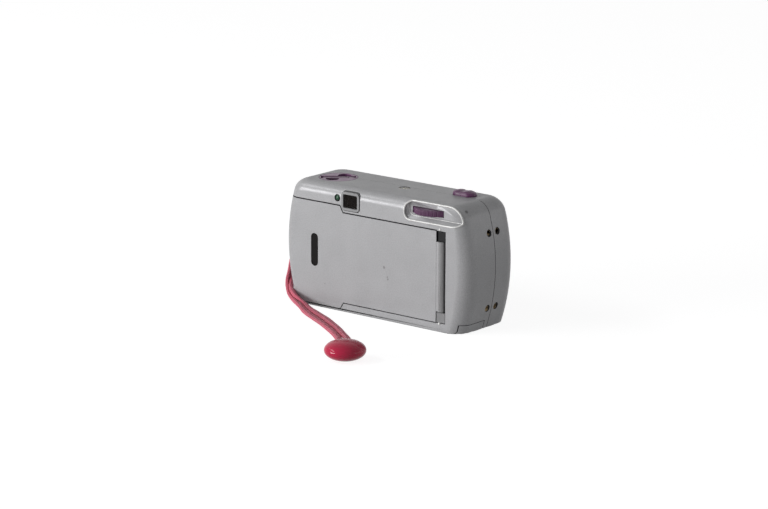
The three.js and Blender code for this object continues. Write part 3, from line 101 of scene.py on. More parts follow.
def gridMesh(name, points, closedU=True, startCap=False, endCap=False):
    # points is (rows, columns, 3): neighbouring rows and columns are joined by four-sided faces
    rows, columns = points.shape[:2]
    index = np.arange(rows * columns).reshape(rows, columns)
    nextColumn = np.roll(index, -1, axis=1) if closedU else index[:, 1:]
    here = index if closedU else index[:, :-1]
    quads = np.stack([here[:-1], nextColumn[:-1], nextColumn[1:], here[1:]], axis=-1)
    faces = quads.reshape(-1, 4).tolist()
    if startCap:
        faces.append(index[0][::-1].tolist())
    if endCap:
        faces.append(index[-1].tolist())
    mesh = bpy.data.meshes.new(name)
    mesh.from_pydata(points.reshape(-1, 3).tolist(), [], faces)
    return mesh


def faceOut(mesh):
    work = bmesh.new()
    work.from_mesh(mesh)
    bmesh.ops.remove_doubles(work, verts=work.verts, dist=1e-7)
    bmesh.ops.recalc_face_normals(work, faces=work.faces)
    work.to_mesh(mesh)
    work.free()


def smoothFaces(mesh, angle=180):
    mesh.polygons.foreach_set("use_smooth", np.ones(len(mesh.polygons), bool))
    if angle < 180:
        mesh.set_sharp_from_angle(angle=math.radians(angle))
    mesh.update()


def newMaterial(name, **values):
    material = bpy.data.materials.new(name)
    material.use_nodes = True
    shader = material.node_tree.nodes["Principled BSDF"]
    for key, value in values.items():
        shader.inputs[key].default_value = value
    return material, material.node_tree, shader


def readAll(items, name, width=1, kind=float):
    # one value, or row of values, from every item
    values = np.empty(len(items) * width, kind)
    items.foreach_get(name, values)
    return values.reshape(-1, width) if width > 1 else values


def addNode(tree, kind, inputs=(), **settings):
    made = tree.nodes.new(kind)
    for key, value in settings.items():
        setattr(made, key, value)
    for key, value in dict(inputs).items():
        if isinstance(value, bpy.types.NodeSocket):
            tree.links.new(value, made.inputs[key])
        else:
            made.inputs[key].default_value = value
    return made


def objectSpace(tree, scale=(1, 1, 1), shift=(0, 0, 0)):
    coords = addNode(tree, "ShaderNodeTexCoord")
    mapping = addNode(tree, "ShaderNodeMapping", {"Vector": coords.outputs["Object"]})
    mapping.inputs["Scale"].default_value = scale
    mapping.inputs["Location"].default_value = shift
    return mapping.outputs["Vector"]


def noiseOf(tree, space, scale, detail=3.0, roughness=0.5):
    made = addNode(tree, "ShaderNodeTexNoise", {
        "Vector": space, "Scale": scale, "Detail": detail, "Roughness": roughness})
    return made.outputs["Fac"]


def rampOf(tree, factor, stops):
    ramp = addNode(tree, "ShaderNodeValToRGB", {"Fac": factor})
    elements = ramp.color_ramp.elements
    while len(elements) < len(stops):
        elements.new(0.5)
    for element, (place, colour) in zip(elements, stops):
        element.position = place
        element.color = (*colour, 1)
    return ramp.outputs["Color"]


def rangeOf(tree, factor, low, high, fromLow=0.0, fromHigh=1.0):
    made = addNode(tree, "ShaderNodeMapRange", {
        "Value": factor, "From Min": fromLow, "From Max": fromHigh, "To Min": low, "To Max": high})
    return made.outputs["Result"]


def mixColours(tree, factor, first, second, blend="MIX"):
    made = addNode(tree, "ShaderNodeMix", data_type="RGBA", blend_type=blend)
    for socket, value in zip((made.inputs[0], made.inputs[6], made.inputs[7]), (factor, first, second)):
        if isinstance(value, bpy.types.NodeSocket):
            tree.links.new(value, socket)
        elif isinstance(value, tuple):
            socket.default_value = (*value, 1)
        else:
            socket.default_value = value
    return made.outputs[2]


def mathOf(tree, operation, first, second=0.0):
    made = addNode(tree, "ShaderNodeMath", operation=operation)
    for socket, value in zip(made.inputs, (first, second)):
        if isinstance(value, bpy.types.NodeSocket):
            tree.links.new(value, socket)
        else:
            socket.default_value = value
    return made.outputs[0]


def bumpOn(tree, shader, height, strength, distance=0.0001):
    made = addNode(tree, "ShaderNodeBump", {
        "Height": height, "Strength": strength, "Distance": distance})
    tree.links.new(made.outputs["Normal"], shader.inputs["Normal"])


def nearPoint(tree, point, radius):
    # 1 at the point, falling to 0 at the radius
    coords = addNode(tree, "ShaderNodeTexCoord")
    away = addNode(tree, "ShaderNodeVectorMath", operation="DISTANCE")
    tree.links.new(coords.outputs["Object"], away.inputs[0])
    away.inputs[1].default_value = point
    return rangeOf(tree, away.outputs["Value"], 1.0, 0.0, radius * 0.55, radius)


# Finishes

paint = {
    "colour": (0.4, 0.4, 0.41), "flake": 0.09, "flakeScale": 1900, "cloud": 0.03, "cloudScale": 45,
    "metal": 0.13, "rough": 0.33, "texture": 0.05, "gloss": 0.03,
    # marks: place and radius in metres; shadedPits: painted shade of small dents, as place, radius, share
    # of the colour that is lost
    "marks": [((0.0067, -0.02, 0.0268), 0.0008), ((0.0088, -0.02, 0.0223), 0.0005),
              ((0.0091, -0.02, 0.0212), 0.0006), ((-0.031, -0.02, 0.0125), 0.0004)],
    "shadedPits": [((0.05264, -0.01415, 0.06033), 0.0011, 0.55)],
}


def silverPaint(name, p):
    material, tree, shader = newMaterial(name, Metallic=p["metal"], **{"Specular IOR Level": p["gloss"]})
    space = objectSpace(tree)
    flake = noiseOf(tree, space, p["flakeScale"], 1.0)
    cloud = noiseOf(tree, space, p["cloudScale"], 4.0)
    base = np.array(p["colour"])
    darker, paler = (tuple(base * (1 + side * p["flake"])) for side in (-1, 1))
    speckled = rampOf(tree, flake, [(0.3, darker), (0.7, paler)])
    clouded = rampOf(tree, cloud, [(0.3, (1 - p["cloud"],) * 3), (0.7, (1 + p["cloud"],) * 3)])
    colour = mixColours(tree, 1.0, speckled, clouded, "MULTIPLY")
    grime = noiseOf(tree, space, 900, 3.0)
    for place, radius in p["marks"]:
        broken = rangeOf(tree, grime, 0.0, 1.6, 0.35, 0.6)
        spot = mathOf(tree, "MULTIPLY", nearPoint(tree, place, radius), broken)
        colour = mixColours(tree, mathOf(tree, "MINIMUM", spot, 0.55), colour, (0.16, 0.155, 0.15))
    # painted shade: each pit darkens the colour toward near black, standing in for the shade that falls
    # inside a dent
    for place, radius, depth in p["shadedPits"]:
        pitShade = mathOf(tree, "MULTIPLY", nearPoint(tree, place, radius), depth)
        colour = mixColours(tree, pitShade, colour, (0.05,) * 3)
    tree.links.new(colour, shader.inputs["Base Color"])
    wear = noiseOf(tree, space, 160, 5.0, 0.6)
    gloss = rangeOf(tree, wear, p["rough"] - 0.05, p["rough"] + 0.07, 0.3, 0.7)
    tree.links.new(gloss, shader.inputs["Roughness"])
    fine = noiseOf(tree, space, 2600, 2.0)
    bumpOn(tree, shader, fine, p["texture"], 0.00008)
    return material


def plasticOf(name, colour, rough, scale=1500, texture=0.05, vary=0.12, gloss=0.5):
    # moulded plastic: slight colour clouds, a fine moulded grain, uneven gloss
    material, tree, shader = newMaterial(name, **{"Specular IOR Level": gloss})
    space = objectSpace(tree)
    cloud = noiseOf(tree, space, 130, 4.0)
    darker, paler = (tuple(np.array(colour) * (1 + side * vary)) for side in (-1, 1))
    tint = rampOf(tree, cloud, [(0.3, darker), (0.7, paler)])
    tree.links.new(tint, shader.inputs["Base Color"])
    wear = noiseOf(tree, space, 420, 5.0, 0.6)
    uneven = rangeOf(tree, wear, rough * 0.85, rough * 1.2, 0.3, 0.7)
    tree.links.new(uneven, shader.inputs["Roughness"])
    bumpOn(tree, shader, noiseOf(tree, space, scale, 2.0), texture, 0.00008)
    return material


def metalOf(name, colour, rough, brushed=(1, 1, 1), scale=900.0, stain=0.15):
    # brushed metal: noise stretched along one axis, faint stains
    material, tree, shader = newMaterial(name, Metallic=1.0)
    fine = noiseOf(tree, objectSpace(tree, brushed), scale, 3.0)
    cloud = noiseOf(tree, objectSpace(tree), 220, 4.0)
    base = np.array(colour)
    streaks = rampOf(tree, fine, [(0.25, tuple(base * 0.9)), (0.75, tuple(np.minimum(base * 1.08, 1)))])
    stains = rampOf(tree, cloud, [(0.35, (1 - stain,) * 3), (0.6, (1.0,) * 3)])
    tree.links.new(mixColours(tree, 1.0, streaks, stains, "MULTIPLY"), shader.inputs["Base Color"])
    tree.links.new(rangeOf(tree, fine, rough * 0.8, rough * 1.3, 0.25, 0.75), shader.inputs["Roughness"])
    bumpOn(tree, shader, fine, 0.06, 0.00005)
    return material


def glassOf(name, colour, rough=0.03, through=1.0, ior=1.49, **more):
    material, tree, shader = newMaterial(name, IOR=ior, **more)
    shader.inputs["Transmission Weight"].default_value = through
    space = objectSpace(tree)
    haze = noiseOf(tree, space, 300, 5.0, 0.65)
    tree.links.new(rangeOf(tree, haze, rough, rough + 0.05, 0.45, 0.75), shader.inputs["Roughness"])
    base = np.array(colour)
    tint = rampOf(tree, haze, [(0.3, tuple(base)), (0.8, tuple(base * 0.94))])
    tree.links.new(tint, shader.inputs["Base Color"])
    return material


def boardFinish():
    # solder mask with straight tracks and round pads, from two line patterns and a dot pattern
    material, tree, shader = newMaterial("boardGreen", **{"Coat Weight": 0.4})
    space = objectSpace(tree)
    tracks = addNode(tree, "ShaderNodeTexBrick", {"Vector": space, "Scale": 260.0, "Mortar Size": 0.03},
                     offset=0.35, squash=0.7)
    tracks.inputs["Color1"].default_value = (0.012, 0.085, 0.035, 1)
    tracks.inputs["Color2"].default_value = (0.015, 0.1, 0.042, 1)
    tracks.inputs["Mortar"].default_value = (0.05, 0.2, 0.07, 1)
    dots = addNode(tree, "ShaderNodeTexVoronoi", {"Vector": space, "Scale": 330.0, "Randomness": 0.6})
    pad = rangeOf(tree, dots.outputs["Distance"], 1.0, 0.0, 0.16, 0.2)
    colour = mixColours(tree, pad, tracks.outputs["Color"], (0.55, 0.5, 0.42))
    tree.links.new(colour, shader.inputs["Base Color"])
    shader.inputs["Roughness"].default_value = 0.4
    bumpOn(tree, shader, pad, 0.3, 0.0001)
    return material


def wrapFinish(name, lower, upper, split, soft=0.0004, rough=0.3):
    # shrink wrap in two colours, the lower one up to the split height
    material, tree, shader = newMaterial(name, Roughness=rough, **{"Coat Weight": 0.5})
    coords = addNode(tree, "ShaderNodeTexCoord")
    parts = addNode(tree, "ShaderNodeSeparateXYZ", {"Vector": coords.outputs["Object"]})
    band = rangeOf(tree, parts.outputs["Z"], 0.0, 1.0, split - soft, split + soft)
    crease = noiseOf(tree, objectSpace(tree, (1, 1, 0.2)), 500, 3.0)
    colour = mixColours(tree, band, lower, upper)
    shade = rampOf(tree, crease, [(0.3, (0.9,) * 3), (0.7, (1.0,) * 3)])
    tree.links.new(mixColours(tree, 1.0, colour, shade, "MULTIPLY"), shader.inputs["Base Color"])
    bumpOn(tree, shader, crease, 0.1, 0.0001)
    return material


def braidFinish():
    # pink yarn, darkened between yarns as painted shade and paled on the crowns as a painted highlight:
    # the attribute relief is 1 on a yarn's crown, 0 between yarns; fibres run along the UVs
    material, tree, shader = newMaterial("strapBraid", Roughness=0.72)
    shader.inputs["Sheen Weight"].default_value = 0.35
    shader.inputs["Sheen Roughness"].default_value = 0.4
    shader.inputs["Sheen Tint"].default_value = (1, 0.75, 0.8, 1)
    relief = addNode(tree, "ShaderNodeAttribute", attribute_name="relief").outputs["Fac"]
    uv = addNode(tree, "ShaderNodeUVMap", uv_map="along").outputs["UV"]
    drawn = addNode(tree, "ShaderNodeMapping", {"Vector": uv, "Scale": (8, 30, 1)}).outputs[0]
    fibre = noiseOf(tree, drawn, 14, 3.0)
    # painted shade at 0 between yarns and painted highlight at 1 on the crowns, round the yarn's own pink
    # at 0.4
    yarn = rampOf(tree, relief, [(0.0, (0.1, 0.016, 0.026)), (0.4, (0.68, 0.11, 0.175)),
                                 (1.0, (0.92, 0.25, 0.34))])
    patches = noiseOf(tree, objectSpace(tree), 90, 3.0)
    fade = rampOf(tree, patches, [(0.3, (0.86, 0.84, 0.84)), (0.7, (1.0,) * 3)])
    shade = rampOf(tree, fibre, [(0.25, (0.78,) * 3), (0.75, (1.0,) * 3)])
    colour = mixColours(tree, 1.0, mixColours(tree, 1.0, yarn, shade, "MULTIPLY"), fade, "MULTIPLY")
    tree.links.new(colour, shader.inputs["Base Color"])
    bumpOn(tree, shader, fibre, 0.35, 0.0002)
    return material


# pale and glintReach: the colour and reach of a painted highlight in the lens's middle
lamp = {"centre": (-0.02285, -0.0197, 0.0576), "pale": (0.27, 0.36, 0.29), "green": (0.025, 0.085, 0.045),
        "rim": (0.008, 0.02, 0.013), "glintReach": 0.00065, "greenReach": 0.0015}


def lampFinish():
    # clear green lens: a painted highlight in the middle, deep green round it and a near black rim
    k = lamp
    material, tree, shader = newMaterial("lampGreen", Roughness=0.2, **{"Specular IOR Level": 0.2})
    ringed = mixColours(tree, nearPoint(tree, k["centre"], k["greenReach"]), k["rim"], k["green"])
    cloud = rangeOf(tree, noiseOf(tree, objectSpace(tree), 900, 2.0), 0.6, 1.0, 0.3, 0.7)
    paintedGlint = mathOf(tree, "MULTIPLY", nearPoint(tree, k["centre"], k["glintReach"]), cloud)
    tree.links.new(mixColours(tree, paintedGlint, ringed, k["pale"]), shader.inputs["Base Color"])
    return material


finish = {
    "silver_paint": silverPaint("silverPaint", paint),
    "bright_trim": metalOf("brightTrim", (0.36, 0.36, 0.37), 0.3, brushed=(1, 1, 8), scale=700),
    "steel": metalOf("steel", (0.56, 0.56, 0.57), 0.3, brushed=(1, 1, 0.08), scale=2400),
    "brass": metalOf("brass", (0.2, 0.15, 0.085), 0.42, scale=1800, stain=0.5),
    "black_plastic": plasticOf("blackPlastic", (0.008, 0.008, 0.009), 0.55, 2200, 0.2, gloss=0.16),
    "grey_plastic": plasticOf("greyPlastic", (0.24, 0.24, 0.245), 0.5, 1800, 0.15, gloss=0.2),
    "plum_plastic": plasticOf("plumPlastic", (0.085, 0.018, 0.075), 0.34, gloss=0.42),
    "smoked_glass": glassOf("smokedGlass", (0.014, 0.012, 0.012), 0.08, through=0.3, ior=1.3,
                            **{"Specular IOR Level": 0.12}),
    "clear_glass": glassOf("clearGlass", (0.95, 0.97, 0.98), 0.02),
    "lamp_green": lampFinish(),
    "white_plastic": plasticOf("whitePlastic", (0.7, 0.69, 0.65), 0.45, 1600, 0.06, vary=0.03),
    "board": boardFinish(),
    "cell_wrap": wrapFinish("cellWrap", (0.03, 0.035, 0.05), (0.45, 0.3, 0.12), split=0.0345),
    "capacitor_wrap": wrapFinish("capacitorWrap", (0.018, 0.018, 0.022), (0.3, 0.3, 0.31), split=0.0405),
    "strap_braid": braidFinish(),
    "strap_gloss": plasticOf("strapGloss", (0.5, 0.014, 0.06), 0.14, 1200, 0.02, vary=0.05, gloss=0.2),
}
bare = {**paint, "marks": [], "shadedPits": []}
# pale silver paint: a painted highlight, used on the recess's lip, its floor's edge and the hinge's pin
# ends
highlightPaint = silverPaint("highlightPaint", {**bare, "colour": (0.7, 0.7, 0.69), "rough": 0.28})
# near black for the shells' faces off the outer skin: bare moulded plastic, and painted shade that
# darkens the seams
bareShellSeamShade = plasticOf("bareShellSeamShade", (0.035, 0.035, 0.037), 0.6, 1400, 0.15, gloss=0.15)
ownGlass = {
    "eyepiece_lens": glassOf("eyeGlass", (0.1, 0.08, 0.075), 0.04, through=0.9, ior=1.12),
    "counter_window": glassOf("counterGlass", (0.6, 0.55, 0.4), 0.05, through=0.9, ior=1.2),
}
# painted shade: the hinge barrel's dark base colour stands in for the dark surroundings that a polished
# rod reflects
shadedBarrelPaint = silverPaint("shadedBarrelPaint", {**bare, "colour": (0.25, 0.25, 0.255), "metal": 0.05,
                                          "rough": 0.17, "gloss": 0.5})
# silver paint darkened on the eyepiece bezel to take away the highlight it catches: painted shade
shadedBezelPaint = silverPaint("shadedBezelPaint", {**bare, "colour": (0.28, 0.28, 0.285), "rough": 0.4})
palePlum = plasticOf("palePlum", (0.15, 0.055, 0.14), 0.36, vary=0.1)
darkPlum = plasticOf("darkPlum", (0.06, 0.01, 0.05), 0.4, vary=0.1, gloss=0.2)
print("finishes made:", len(finish))


# Floor and light

room = {
    "floor": 6.0, "floorColour": (0.9, 0.9, 0.91), "bounce": 0.55, "floorGlow": 0.62, "white": 1.42,
    "key": {"turn": -31, "height": 7, "far": 1.6, "wide": 0.9, "tall": 0.5, "power": 19.2},
    "strip": {"turn": -48, "height": 37, "far": 1.5, "wide": 0.9, "tall": 0.1, "power": 4.5},
    "fill": {"turn": 118, "height": 4, "far": 1.6, "wide": 1.8, "tall": 1.2, "power": 5.4},
    "world": 0.18,
}


def lampAt(name, turn, height, far, wide, tall, power):
    # turn is measured round from straight behind the object, as the viewpoint's is
    a, e = math.radians(turn), math.radians(height)
    out = Vector((math.sin(a) * math.cos(e), -math.cos(a) * math.cos(e), math.sin(e)))
    data = bpy.data.lights.new(name, "AREA")
    data.shape, data.size, data.size_y, data.energy = "RECTANGLE", wide, tall, power
    light = bpy.data.objects.new(name, data)
    light.location = out * far + Vector((0, 0, 0.03))  # aimed at the middle of the body's height
    light.rotation_euler = out.to_track_quat("Z", "Y").to_euler()
    scene.collection.objects.link(light)


def seenDirectly(tree):
    # 1 where a camera, mirror or see-through ray looks, 0 for the light that falls on things
    path = addNode(tree, "ShaderNodeLightPath").outputs
    both = mathOf(tree, "MAXIMUM", path["Is Camera Ray"], path["Is Glossy Ray"])
    return mathOf(tree, "MAXIMUM", both, path["Is Transmission Ray"])


def makeRoom(r):
    world = bpy.data.worlds.new("softWorld")
    world.use_nodes = True
    scene.world = world
    tree = world.node_tree
    ground = tree.nodes["Background"]
    ground.inputs["Color"].default_value = (1, 1, 1, 1)
    tree.links.new(rangeOf(tree, seenDirectly(tree), r["world"], 1.0), ground.inputs["Strength"])
    half = r["floor"] / 2
    mesh = bpy.data.meshes.new("floor")
    corners = [(-half, -half, 0), (half, -half, 0), (half, half, 0), (-half, half, 0)]
    mesh.from_pydata(corners, [], [(0, 1, 2, 3)])
    floor = bpy.data.objects.new("floor", mesh)
    scene.collection.objects.link(floor)
    material, tree, shader = newMaterial("paleFloor", Roughness=0.9)
    shader.inputs["Specular IOR Level"].default_value = 0.1
    grain = noiseOf(tree, objectSpace(tree), 25, 3.0)
    base = np.array(r["floorColour"])
    pale = rampOf(tree, grain, [(0.3, tuple(base * 0.99)), (0.7, tuple(base))])
    shown = mixColours(tree, seenDirectly(tree), (r["bounce"],) * 3, pale)
    tree.links.new(shown, shader.inputs["Base Color"])
    glow = addNode(tree, "ShaderNodeEmission", {"Strength": r["white"]})
    glow.inputs["Color"].default_value = (1, 1, 1, 1)
    blend = addNode(tree, "ShaderNodeMixShader")
    tree.links.new(mathOf(tree, "MULTIPLY", seenDirectly(tree), r["floorGlow"]), blend.inputs[0])
    tree.links.new(shader.outputs[0], blend.inputs[1])
    tree.links.new(glow.outputs[0], blend.inputs[2])
    tree.links.new(blend.outputs[0], tree.nodes["Material Output"].inputs["Surface"])
    mesh.materials.append(material)
    for which in ("key", "strip", "fill"):
        lampAt(which + "Lamp", **r[which])


makeRoom(room)
print("floor and lamps placed")


# Wrist strap: two flat braided strands from the lug's eye to the bead

strap = {  # mm
    "halfWidth": 2.05, "halfThick": 1.04, "square": 2.6, "relief": 0.2, "pitch": 1.3, "columns": 8,
    "around": 64, "step": 0.19, "swell": 0.05, "swellLength": 9.0,
    "outer": [(-62.4, -4, 22), (-62.4, -5.1, 22), (-62.9, -8.4, 17.3), (-62.8, -10, 12.7),
              (-62.7, -11.6, 8.5), (-61.5, -13.2, 5.9), (-59.3, -15.4, 4.6), (-54.4, -19.4, 3.2),
              (-50.5, -22.2, 2.3), (-44.3, -26.7, 2.1), (-37.7, -30.6, 1.7), (-29.1, -36.1, 1.2),
              (-19.5, -41.5, 1.1), (-10.3, -46.6, 1.1), (-1.5, -52.1, 1.1), (6.8, -57.7, 1.1),
              (14, -63.4, 1.2), (20.1, -69, 1.7), (25.2, -74.6, 2.8), (30.2, -80.1, 4.5),
              (31.4, -81.4, 4.9)],
    "inner": [(-62.4, -4, 22), (-62.4, -2.8, 22), (-62.4, -2.2, 20.4), (-62.5, -6, 15.9),
              (-62.5, -8, 12.1), (-61.9, -9.6, 8.2), (-59.6, -12.2, 6.1), (-57, -15.4, 5.5),
              (-52.1, -19.8, 4.9), (-48, -22.6, 4), (-44.5, -23.9, 3), (-39.7, -25.7, 2),
              (-32.3, -29.9, 1.3), (-23.7, -34.3, 1.1), (-14.5, -39.1, 1.1), (-6.4, -44.2, 1.1),
              (1.3, -49.2, 1.1), (9, -54.8, 1.1), (16.4, -60.2, 1.2), (22.6, -66.2, 1.7),
              (27.9, -72.3, 2.8), (33.1, -77.9, 4.5), (34.2, -79.1, 4.9)],
    # which way the strand's flat side looks, at shares of its length
    "facing": {"outer": [(0, (0, 0, 1)), (0.03, (0.6, 0.3, 0.6)), (0.06, (0.78, 0.63, 0.05)),
                         (0.17, (0.7, 0.6, 0.25)), (0.22, (0.5, 0.4, 0.75)), (0.27, (0.6, 0.35, 0.65)),
                         (0.32, (0.4, 0.5, 0.75)), (0.36, (0.33, 0.43, 0.84)), (0.43, (0.1, 0.13, 1)),
                         (0.7, (0.1, 0.15, 1)), (0.85, (0.2, 0.3, 0.9)), (1, (0.1, 0.15, 1))],
               "inner": [(0, (0, 0, -1)), (0.03, (0.5, 0.3, -0.3)), (0.06, (0.78, 0.63, 0.05)),
                         (0.17, (0.7, 0.6, 0.25)), (0.22, (0.5, 0.4, 0.75)), (0.27, (0.6, 0.35, 0.65)),
                         (0.32, (0.4, 0.5, 0.75)), (0.36, (0.33, 0.43, 0.84)), (0.43, (0.1, 0.13, 1)),
                         (0.7, (0.05, 0.1, 1)), (0.85, (0.2, 0.3, 0.9)), (1, (0.1, 0.15, 1))]},
    "eyeShare": 0.72, "eyeReach": 6.0,  # the strands are drawn together where they pass the lug
}


def routeThrough(points, step):
    # centripetal Catmull-Rom: each span is the cubic whose end slopes weigh its neighbours by the
    # roots of their distances
    p = np.array(points, float)
    p = np.vstack([2 * p[0] - p[1], p, 2 * p[-1] - p[-2]])
    a, b, c, d = p[:-3], p[1:-2], p[2:-1], p[3:]
    ta, tb, tc = (np.sqrt(np.linalg.norm(v - u, axis=1))[:, None] for u, v in ((a, b), (b, c), (c, d)))
    first = ((b - a) / ta - (c - a) / (ta + tb) + (c - b) / tb) * tb
    last = ((c - b) / tb - (d - b) / (tb + tc) + (d - c) / tc) * tb
    t = np.linspace(0, 1, 60, endpoint=False)[None, :, None]
    b, c, first, last = (v[:, None, :] for v in (b, c, first, last))
    fine = (2 * t**3 - 3 * t**2 + 1) * b + (t**3 - 2 * t**2 + t) * first
    fine = fine + (3 * t**2 - 2 * t**3) * c + (t**3 - t**2) * last
    fine = np.vstack([fine.reshape(-1, 3), p[-2]])
    along = np.concatenate([[0], np.cumsum(np.linalg.norm(np.diff(fine, axis=0), axis=1))])
    even = np.linspace(0, along[-1], int(along[-1] / step) + 1)
    return np.stack([np.interp(even, along, fine[:, k]) for k in range(3)], axis=1), even


def frameAlong(path, along, facing):
    # the facing list is blended along the length and made square to the tangent
    tangent = np.gradient(path, axis=0)
    tangent /= np.linalg.norm(tangent, axis=1)[:, None]
    share = along / along[-1]
    at = [s for s, _ in facing]
    normal = np.stack([np.interp(share, at, [v[k] for _, v in facing]) for k in range(3)], axis=1)
    normal -= (normal * tangent).sum(1)[:, None] * tangent
    normal /= np.linalg.norm(normal, axis=1)[:, None]
    return normal, np.cross(tangent, normal)


def makeStrand(name, points, facing, s):
    path, along = routeThrough(points, s["step"])
    normal, side = frameAlong(path, along, facing)
    # the section is a rounded flat outline; columns of yarn lean left and right in turn, as in a plait
    u = np.arange(s["around"]) / s["around"]
    angle = 2 * np.pi * u
    power = 2 / s["square"]
    across = s["halfWidth"] * np.sign(np.cos(angle)) * np.abs(np.cos(angle)) ** power
    over = s["halfThick"] * np.sign(np.sin(angle)) * np.abs(np.sin(angle)) ** power
    column = np.floor(u * s["columns"])
    local = u * s["columns"] - column
    lean = np.where(column % 2 == 0, 1, -1) * (local - 0.5)
    phase = (along[:, None] / s["pitch"] + lean[None, :] + 0.5 * (column % 2)[None, :]) % 1
    crown = np.sqrt(np.abs(np.sin(np.pi * phase)))
    crown = crown * np.sqrt(np.abs(np.sin(np.pi * (local + 0.5 / s["columns"]))))[None, :]
    swell = 1 + s["swell"] * np.sin(along / s["swellLength"])[:, None]  # slightly uneven width
    bulge = s["relief"] * (crown - 1)
    out = np.stack([np.cos(angle), np.sin(angle)], axis=1)
    drawn = s["eyeShare"] + (1 - s["eyeShare"]) * np.clip(along / s["eyeReach"], 0, 1)[:, None]
    w = across[None, :] * swell * drawn + bulge * out[None, :, 0]
    h = over[None, :] / swell + bulge * out[None, :, 1]
    points3d = path[:, None, :] + w[..., None] * side[:, None, :] + h[..., None] * normal[:, None, :]
    mesh = gridMesh(name, points3d * mm, True, True, True)
    relief = mesh.attributes.new("relief", "FLOAT", "POINT")
    relief.data.foreach_set("value", crown.reshape(-1).astype(np.float32))
    uv = mesh.uv_layers.new(name="along")
    loopVert = readAll(mesh.loops, "vertex_index", 1, int)
    uvAt = np.stack([np.tile(u, len(along)) * 2, np.repeat(along / 10, s["around"])], axis=1)
    uv.data.foreach_set("uv", uvAt[loopVert].reshape(-1).astype(np.float32))
    faceOut(mesh)
    smoothFaces(mesh)
    piece = linkPiece(name, mesh, "camera_body", finish["strap_braid"])
    return piece, path * mm, float(along[-1]) * mm


def makeStrap(s):
    ends = []
    for side in ("outer", "inner"):
        piece, path, length = makeStrand("strap_braid_" + side, s[side], s["facing"][side], s)
        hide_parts("strap_strand_" + side)
        ends.append((piece, path, length))
    return ends


strands = makeStrap(strap)
print("strap braided:", [round(length, 4) for _, _, length in strands], "m")


# Bead on the strap: a flattened glossy ball with a dimple where the strands go in

bead = {"x": 38.1, "y": -87.3, "radius": 10.0, "half": 4.9, "fullness": 0.92, "around": 96, "rings": 48,
        "hole": (-0.62, 0.72, 0.25), "holeOut": 0.93, "holeWidth": 3.4, "holeDepth": 0.5}  # mm


def makeBead(b):
    # latitude t from -90 to 90 degrees: radius r cos(t)^f, height h sin(t); a soft dimple round the hole
    t = np.linspace(-np.pi / 2, np.pi / 2, b["rings"])
    u = np.arange(b["around"]) / b["around"] * 2 * np.pi
    r = b["radius"] * np.abs(np.cos(t)) ** b["fullness"]
    z = b["half"] * (1 + np.sin(t))
    x = b["x"] + r[:, None] * np.cos(u)
    y = b["y"] + r[:, None] * np.sin(u)
    points = np.stack([x, y, np.broadcast_to(z[:, None], x.shape)], axis=-1)
    centre = np.array([b["x"], b["y"], b["half"]])
    out = (points - centre) / np.linalg.norm(points - centre, axis=-1, keepdims=True)
    hole = np.array(b["hole"]) / np.linalg.norm(b["hole"])
    spot = centre + hole * b["radius"] * b["holeOut"]
    away = np.linalg.norm(points - spot, axis=-1)
    points -= out * (b["holeDepth"] * np.exp(-((away / b["holeWidth"]) ** 2)))[..., None]
    mesh = gridMesh("bead", points * mm, True, False, False)
    faceOut(mesh)
    smoothFaces(mesh)
    piece = linkPiece("bead", mesh, "camera_body", finish["strap_gloss"])
    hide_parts("strap_bead")
    return piece


beadPiece = makeBead(bead)


# Outer skin: the CAD shells copied, their skin cut finer and laid on the body's true curves

skin = {  # mm; the outline of the CAD shells, and how near to it a face counts as skin
    "half": 59.0, "back": -20.0, "front": 20.0, "top": 63.2, "bow": 88.0, "widest": 31.0,
    "endRound": 6.5, "backRound": 5.5, "frontRound": 8.0, "footRound": 1.5,
    "backCorner": 8.0, "frontCorner": 10.0, "near": 0.3, "cell": 2.2, "cuts": 5,
    "onPlane": 0.02, "footReach": 0.4, "longestStep": 0.3,
}
shape = {**skin, "footRound": 0.5, "endRound": 6.1}  # the photo's edges are a little sharper


def drawnIn(radius, rise):
    # quarter circle: how far an edge of this radius has drawn in once past its start by rise
    rise = np.clip(rise, 0, radius)
    return radius - np.sqrt(radius**2 - rise**2)


def skinDistance(p, k=shape):
    # distance outside the rounded outline of the body at each point's own height
    x, y, z = p[:, 0], p[:, 1], np.clip(p[:, 2], 0, k["top"])
    foot = drawnIn(k["footRound"], k["footRound"] - z)
    end = drawnIn(k["endRound"], z - k["top"] + k["endRound"])
    rear = drawnIn(k["backRound"], z - k["top"] + k["backRound"])
    fore = drawnIn(k["frontRound"], z - k["top"] + k["frontRound"])
    right = k["half"] - (z - k["widest"]) ** 2 / (2 * k["bow"]) - end - foot
    low, high = k["back"] + rear + foot, k["front"] - fore - foot
    behind = y < (low + high) / 2
    curve = np.where(behind, k["backCorner"] - (end + rear) / 2, k["frontCorner"] - (end + fore) / 2)
    dx = np.abs(x) - right + curve
    dy = np.where(behind, low - y, y - high) + curve
    return np.hypot(np.maximum(dx, 0), np.maximum(dy, 0)) + np.minimum(np.maximum(dx, dy), 0) - curve


def skinSlope(p, k=shape):
    h = 0.01  # mm, either side of the point
    parts = []
    for axis in np.eye(3):
        parts.append((skinDistance(p + axis * h, k) - skinDistance(p - axis * h, k)) / (2 * h))
    return np.stack(parts, axis=1)


def skinNormal(p, k=shape):
    slope = skinSlope(p, k)
    slope /= np.maximum(np.linalg.norm(slope, axis=1), 1e-9)[:, None]
    slope[p[:, 2] > k["top"] - k["onPlane"]] = (0, 0, 1)
    slope[p[:, 2] < k["onPlane"]] = (0, 0, -1)
    return slope


